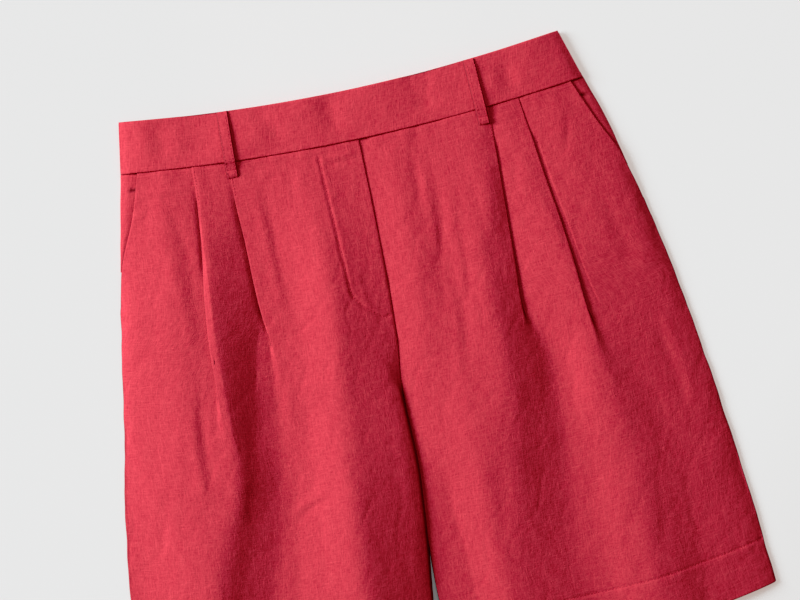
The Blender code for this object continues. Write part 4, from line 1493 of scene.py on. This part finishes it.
@dataclass
class BeltLoop:
    """A narrow folded strip, sewn down at both ends over the waistband."""

    name: str
    across: float
    band: bpy.types.Object
    front: bpy.types.Object
    width: float = 9.2
    top: float = -2.6
    bottom: float = 52.0
    stand: float = 1.5
    turn: float = 2.2               # how far its foot leans out

    def stitches(self) -> list[StitchRow]:
        """Give its rows of stitches: one along each side and a bar tack at its foot."""
        lean = math.copysign(1.6, self.across)
        rows = []
        for aside in (-0.36 * self.width, 0.36 * self.width):
            x = self.across + aside
            rows.append(StitchRow(np.array([(x, 1.0), (x + lean, 50.0)]), 2.9, 1.9, 0.32))
        foot = self.across + math.copysign(2.0, self.across)
        rows.append(StitchRow(np.array([(foot - 3.4, 46.0), (foot + 3.4, 46.0)]), 1.1, 1.3, 0.34))
        return rows

    def build(self, room: Workroom) -> bpy.types.Object:
        """Make the loop.

        Args:
            room: The finishes.

        Returns:
            The finished piece.
        """
        steps = np.concatenate((np.linspace(self.top, 40.0, 20),
                                np.linspace(41.0, self.bottom, 14)))
        lean = math.copysign(self.turn, self.across)
        spine = []
        for down in steps:
            t = (down - self.top) / (self.bottom - self.top)
            x = self.across + lean * (t - 0.5)
            heights = []
            for piece in (self.band, self.front):
                for aside in (-0.45, 0.0, 0.45):
                    hit = top_of(piece, x + aside * self.width, max(down, 1.4))
                    if hit is not None:
                        heights.append(hit[0].z / MM)
            base = max(heights) if heights else 8.0
            spine.append((x, down, base))
        spine = np.array(spine)
        smooth = spine[:, 2].copy()
        for _ in range(3):
            smooth[1:-1] = np.maximum(smooth[1:-1], (smooth[:-2] + smooth[2:]) / 2)
        t = np.linspace(0, 1, len(spine))
        high = smooth + 0.62 + self.stand * np.sin(math.pi * np.clip(t * 1.04, 0, 1)) ** 0.6
        high += 0.14 * drift(spine[:, 0], spine[:, 1], 9.0, int(abs(self.across)))
        high += 0.45 * np.exp(-((spine[:, 1] - self.bottom + 1.6) / 1.8) ** 2)
        high -= 0.40 * np.exp(-((spine[:, 1] - self.bottom + 6.0) / 1.5) ** 2)
        # The strip's ends are folded under it
        x, down = spine[:, 0], spine[:, 1]
        foot = [(x[-1], down[-1] + 0.55, high[-1] - 0.35),
                (x[-1], down[-1] + 0.35, high[-1] - 0.75),
                (x[-1], down[-1] - 5.0, high[-1] - 0.72)]
        head = [(x[0], down[0] + 4.5, high[0] - 0.75), (x[0], down[0] - 0.35, high[0] - 0.75),
                (x[0], down[0] - 0.55, high[0] - 0.35)]
        line = np.concatenate((head, np.stack((x, down, high), axis=1), foot))
        profile = np.array([(-0.36, -0.66), (-0.475, -0.6), (-0.505, -0.33), (-0.475, -0.06),
                            (-0.42, 0.03), (-0.36, -0.03), (-0.28, 0.03), (-0.14, 0.06),
                            (0.0, 0.07), (0.14, 0.06), (0.28, 0.03), (0.36, -0.03),
                            (0.42, 0.03), (0.475, -0.06), (0.505, -0.33), (0.475, -0.6),
                            (0.36, -0.66)])
        rows = []
        for k, (px, pd, pz) in enumerate(line):
            ends = 3 <= k < len(line) - 3
            thick = profile[:, 1] if ends else np.clip(profile[:, 1], -0.2, 0.1)
            pucker = 0.08 * math.sin(pd * 2.1 + 1.3)
            rows.append(placed(px + profile[:, 0] * self.width * (0.985 + 0.02 * pucker),
                               np.full(len(profile), pd), pz + thick + pucker * 0.5))
        points = np.array(rows)
        # Painted shade along the loop's sides, where they turn down
        sides = np.broadcast_to(ease(0.44, 0.49, np.abs(profile[:, 0])), points.shape[:2])
        return Sheet(self.name, points, (0.024, 0.07), Held.FOLDED, ("waistband_front",),
                     wall=0.5, tucked=sides, face_up_at=(15, 8)).sew(room)


@dataclass
class StitchRow:
    """A row of machine stitches along a path on a piece."""

    path: Array                     # across and down, in millimetres
    pitch: float = 3.0
    length: float = 2.2
    thick: float = 0.42

    def spots(self) -> list[tuple[float, float, float, float]]:
        """Give each stitch's middle (across, down) and its direction."""
        steps = np.hypot(*np.diff(self.path, axis=0).T)
        length = np.concatenate(([0.0], np.cumsum(steps)))
        places = np.arange(self.pitch / 2, length[-1], self.pitch)
        spots = []
        for place in places:
            a = [float(np.interp(place - 0.4, length, self.path[:, k])) for k in range(2)]
            b = [float(np.interp(place + 0.4, length, self.path[:, k])) for k in range(2)]
            run = math.hypot(b[0] - a[0], b[1] - a[1]) or 1.0
            spots.append(((a[0] + b[0]) / 2, (a[1] + b[1]) / 2,
                          (b[0] - a[0]) / run, (b[1] - a[1]) / run))
        return spots


@dataclass
class Stitching:
    """All the stitches on one piece, joined into one piece of thread."""

    name: str
    on: list[bpy.types.Object]
    rows: list[StitchRow]

    def build(self, room: Workroom) -> bpy.types.Object:
        """Make the stitches.

        Args:
            room: The finishes.

        Returns:
            The finished thread.
        """
        lay_aside()
        bpy.ops.mesh.primitive_uv_sphere_add(segments=6, ring_count=4, radius=0.5)
        model = bpy.context.object
        bpy.ops.object.shade_smooth()
        coords = np.array([v.co[:] for v in model.data.vertices])
        faces = [tuple(p.vertices) for p in model.data.polygons]
        points, polygons = [], []
        for row in self.rows:
            size = np.array((row.length, row.thick * 1.15, row.thick)) * MM
            for across, down, along_x, along_d in row.spots():
                hits = [hit for piece in self.on
                        if (hit := top_of(piece, across, down)) is not None]
                if not hits:
                    continue
                point, normal = max(hits, key=lambda hit: hit[0].z)
                along = Vector((along_x, -along_d, 0))
                along = (along - normal * along.dot(normal)).normalized()
                aside = normal.cross(along)
                turn = np.array((along, aside, normal))
                base = len(points) * len(coords)
                points.append(coords * size @ turn + np.array(point)
                              + np.array(normal) * 0.10 * MM)
                polygons.extend(tuple(i + base for i in face) for face in faces)
        mesh = bpy.data.meshes.new(self.name)
        mesh.from_pydata(np.concatenate(points).tolist(), [], polygons)
        mesh.shade_smooth()
        bpy.data.objects.remove(model, do_unlink=True)
        thread = bpy.data.objects.new(self.name, mesh)
        bpy.context.collection.objects.link(thread)
        mesh.materials.append(room.thread)
        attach(thread, "root")
        LOG.info("%s: %d stitches", self.name, len(points))
        return thread


# ---- Studio

@dataclass(frozen=True)
class Lamp:
    """A round soft light that looks at the middle of the floor."""

    name: str
    bearing: float                  # anticlockwise from +X, in degrees
    height: float                   # over the floor, in degrees
    distance: float
    size: float
    strength: float                 # its light on a card that faces it, in the middle

    def build(self) -> tuple[Vector, float]:
        """Hang the lamp.

        Returns:
            Where it stands, and its light in the middle of the floor.
        """
        bearing, height = math.radians(self.bearing), math.radians(self.height)
        way = Vector((math.cos(height) * math.cos(bearing),
                      math.cos(height) * math.sin(bearing), math.sin(height)))
        lay_aside()
        bpy.ops.object.light_add(type="AREA", location=way * self.distance)
        lamp = bpy.context.object
        lamp.name = self.name
        lamp.rotation_euler = way.to_track_quat("Z", "Y").to_euler()
        lamp.data.shape = "DISK"
        lamp.data.size = self.size
        lamp.data.energy = self.strength * math.pi * self.distance**2
        return way * self.distance, self.strength / math.pi * way.z


@dataclass
class Studio:
    """A pale floor, a low key lamp at the wearer's right, a soft one over the waist."""

    turn: float = 12.0              # how far the shorts are turned, in degrees
    centre: tuple[float, float] = (0.0114, 0.0597)
    distance: float = 1.6
    view_width: float = 0.676
    fill: float = 0.13
    backdrop: float = 0.45          # how much brighter the surroundings look than they shine
    lamps: tuple[Lamp, ...] = (Lamp("key", 156.0, 24.0, 3.4, 1.7, 4.75),
                               Lamp("over_waist", 76.0, 55.0, 1.0, 0.7, 0.60))

    def build(self) -> None:
        """Set the floor, lights and camera."""
        lit = [lamp.build() for lamp in self.lamps]
        lay_aside()
        bpy.ops.mesh.primitive_plane_add(size=40, location=(0, 0, -0.0002))
        floor = bpy.context.object
        floor.name = "floor"
        floor.data.materials.append(FloorFinish().material(lit, self.fill))
        world = bpy.data.worlds.new("studio")
        bpy.context.scene.world = world
        world.use_nodes = True
        ground = world.node_tree.nodes["Background"]
        ground.inputs["Color"].default_value = (1.0, 0.99, 0.985, 1)
        seen = add_node(world.node_tree, "ShaderNodeLightPath").outputs["Is Camera Ray"]
        wire(world.node_tree, maths(world.node_tree, "ADD", self.fill,
                                    maths(world.node_tree, "MULTIPLY", seen, self.backdrop)),
             ground.inputs["Strength"])
        bpy.ops.object.camera_add(location=(*self.centre, self.distance),
                                  rotation=(0, 0, -math.radians(self.turn)))
        camera = bpy.context.object
        camera.name = "camera"
        camera.data.lens = camera.data.sensor_width * self.distance / self.view_width
        bpy.context.scene.camera = camera
        view = bpy.context.scene.view_settings
        view.view_transform = "Standard"
        view.look = "Medium High Contrast"
        # Deep tones a little deeper, so that the dyed cloth stays rich in shade
        view.use_curve_mapping = True
        curve = view.curve_mapping.curves[3]
        for place, value in ((0.012, 0.002), (0.030, 0.013), (0.060, 0.054), (0.12, 0.12)):
            curve.points.new(place, value)
        view.curve_mapping.update()


# ---- Building

def hem_row(side: int, start: float, end: float) -> Array:
    """Give the path of a hem's row of stitches on a leg, from its inseam out."""
    across = side * np.linspace(start, end, 60)
    return np.stack((across, lay_down(HEM_DOWN - HEM_DEPTH, across)), axis=1)


def main() -> None:
    """Build the shorts, piece by piece, and the studio round them."""
    logging.basicConfig(level=logging.INFO, format="%(message)s")
    room = Workroom()
    right = Front(Side.RIGHT, RIGHT_LEG_FOLDS, RIGHT_LEG_CREASES,
                  RIGHT_SHOULDER_HEIGHTS, 1, 101)
    left = Front(Side.LEFT, LEFT_LEG_FOLDS, LEFT_LEG_CREASES, LEFT_SHOULDER_HEIGHTS, 2, 202,
                 sunk=0.4)
    for front in (right, left):
        Back(front).build(room)
    Waistband().build_back(room)
    front_right = right.build(room)
    front_left = left.build(room)
    for front in (right, left):
        HipPiece(front).build(room)
    FlyPlacket(right).build(room)
    band = Waistband().build_front(room)
    for name, across, front, under in (("belt_loop_right", -106.5, right, front_right),
                                       ("belt_loop_left", 107.5, left, front_left)):
        loop = BeltLoop(name, across, band, under)
        Stitching(f"{name}_stitches", [loop.build(room)], loop.stitches()).build(room)
        pleats = [StitchRow(np.array([front.pressed_edge(name, d) for d in (46.0, 58.0, 72.0)]),
                            2.6, 1.7, 0.30) for name in ("inner_pleat", "outer_pleat")]
        Stitching(f"{front.name}_pleat_stitches", [under], pleats).build(room)
    Stitching("fly_stitches", [front_right], [StitchRow(fly_path(), 2.9, 2.0, 0.36)]).build(room)
    Stitching("hem_stitches_right", [front_right],
              [StitchRow(hem_row(-1, 24.0, 266.0), 3.0, 2.1, 0.36)]).build(room)
    Stitching("hem_stitches_left", [front_left],
              [StitchRow(hem_row(1, 2.0, 262.0), 3.0, 2.1, 0.36)]).build(room)
    Studio().build()


if __name__ == "__main__":
    main()
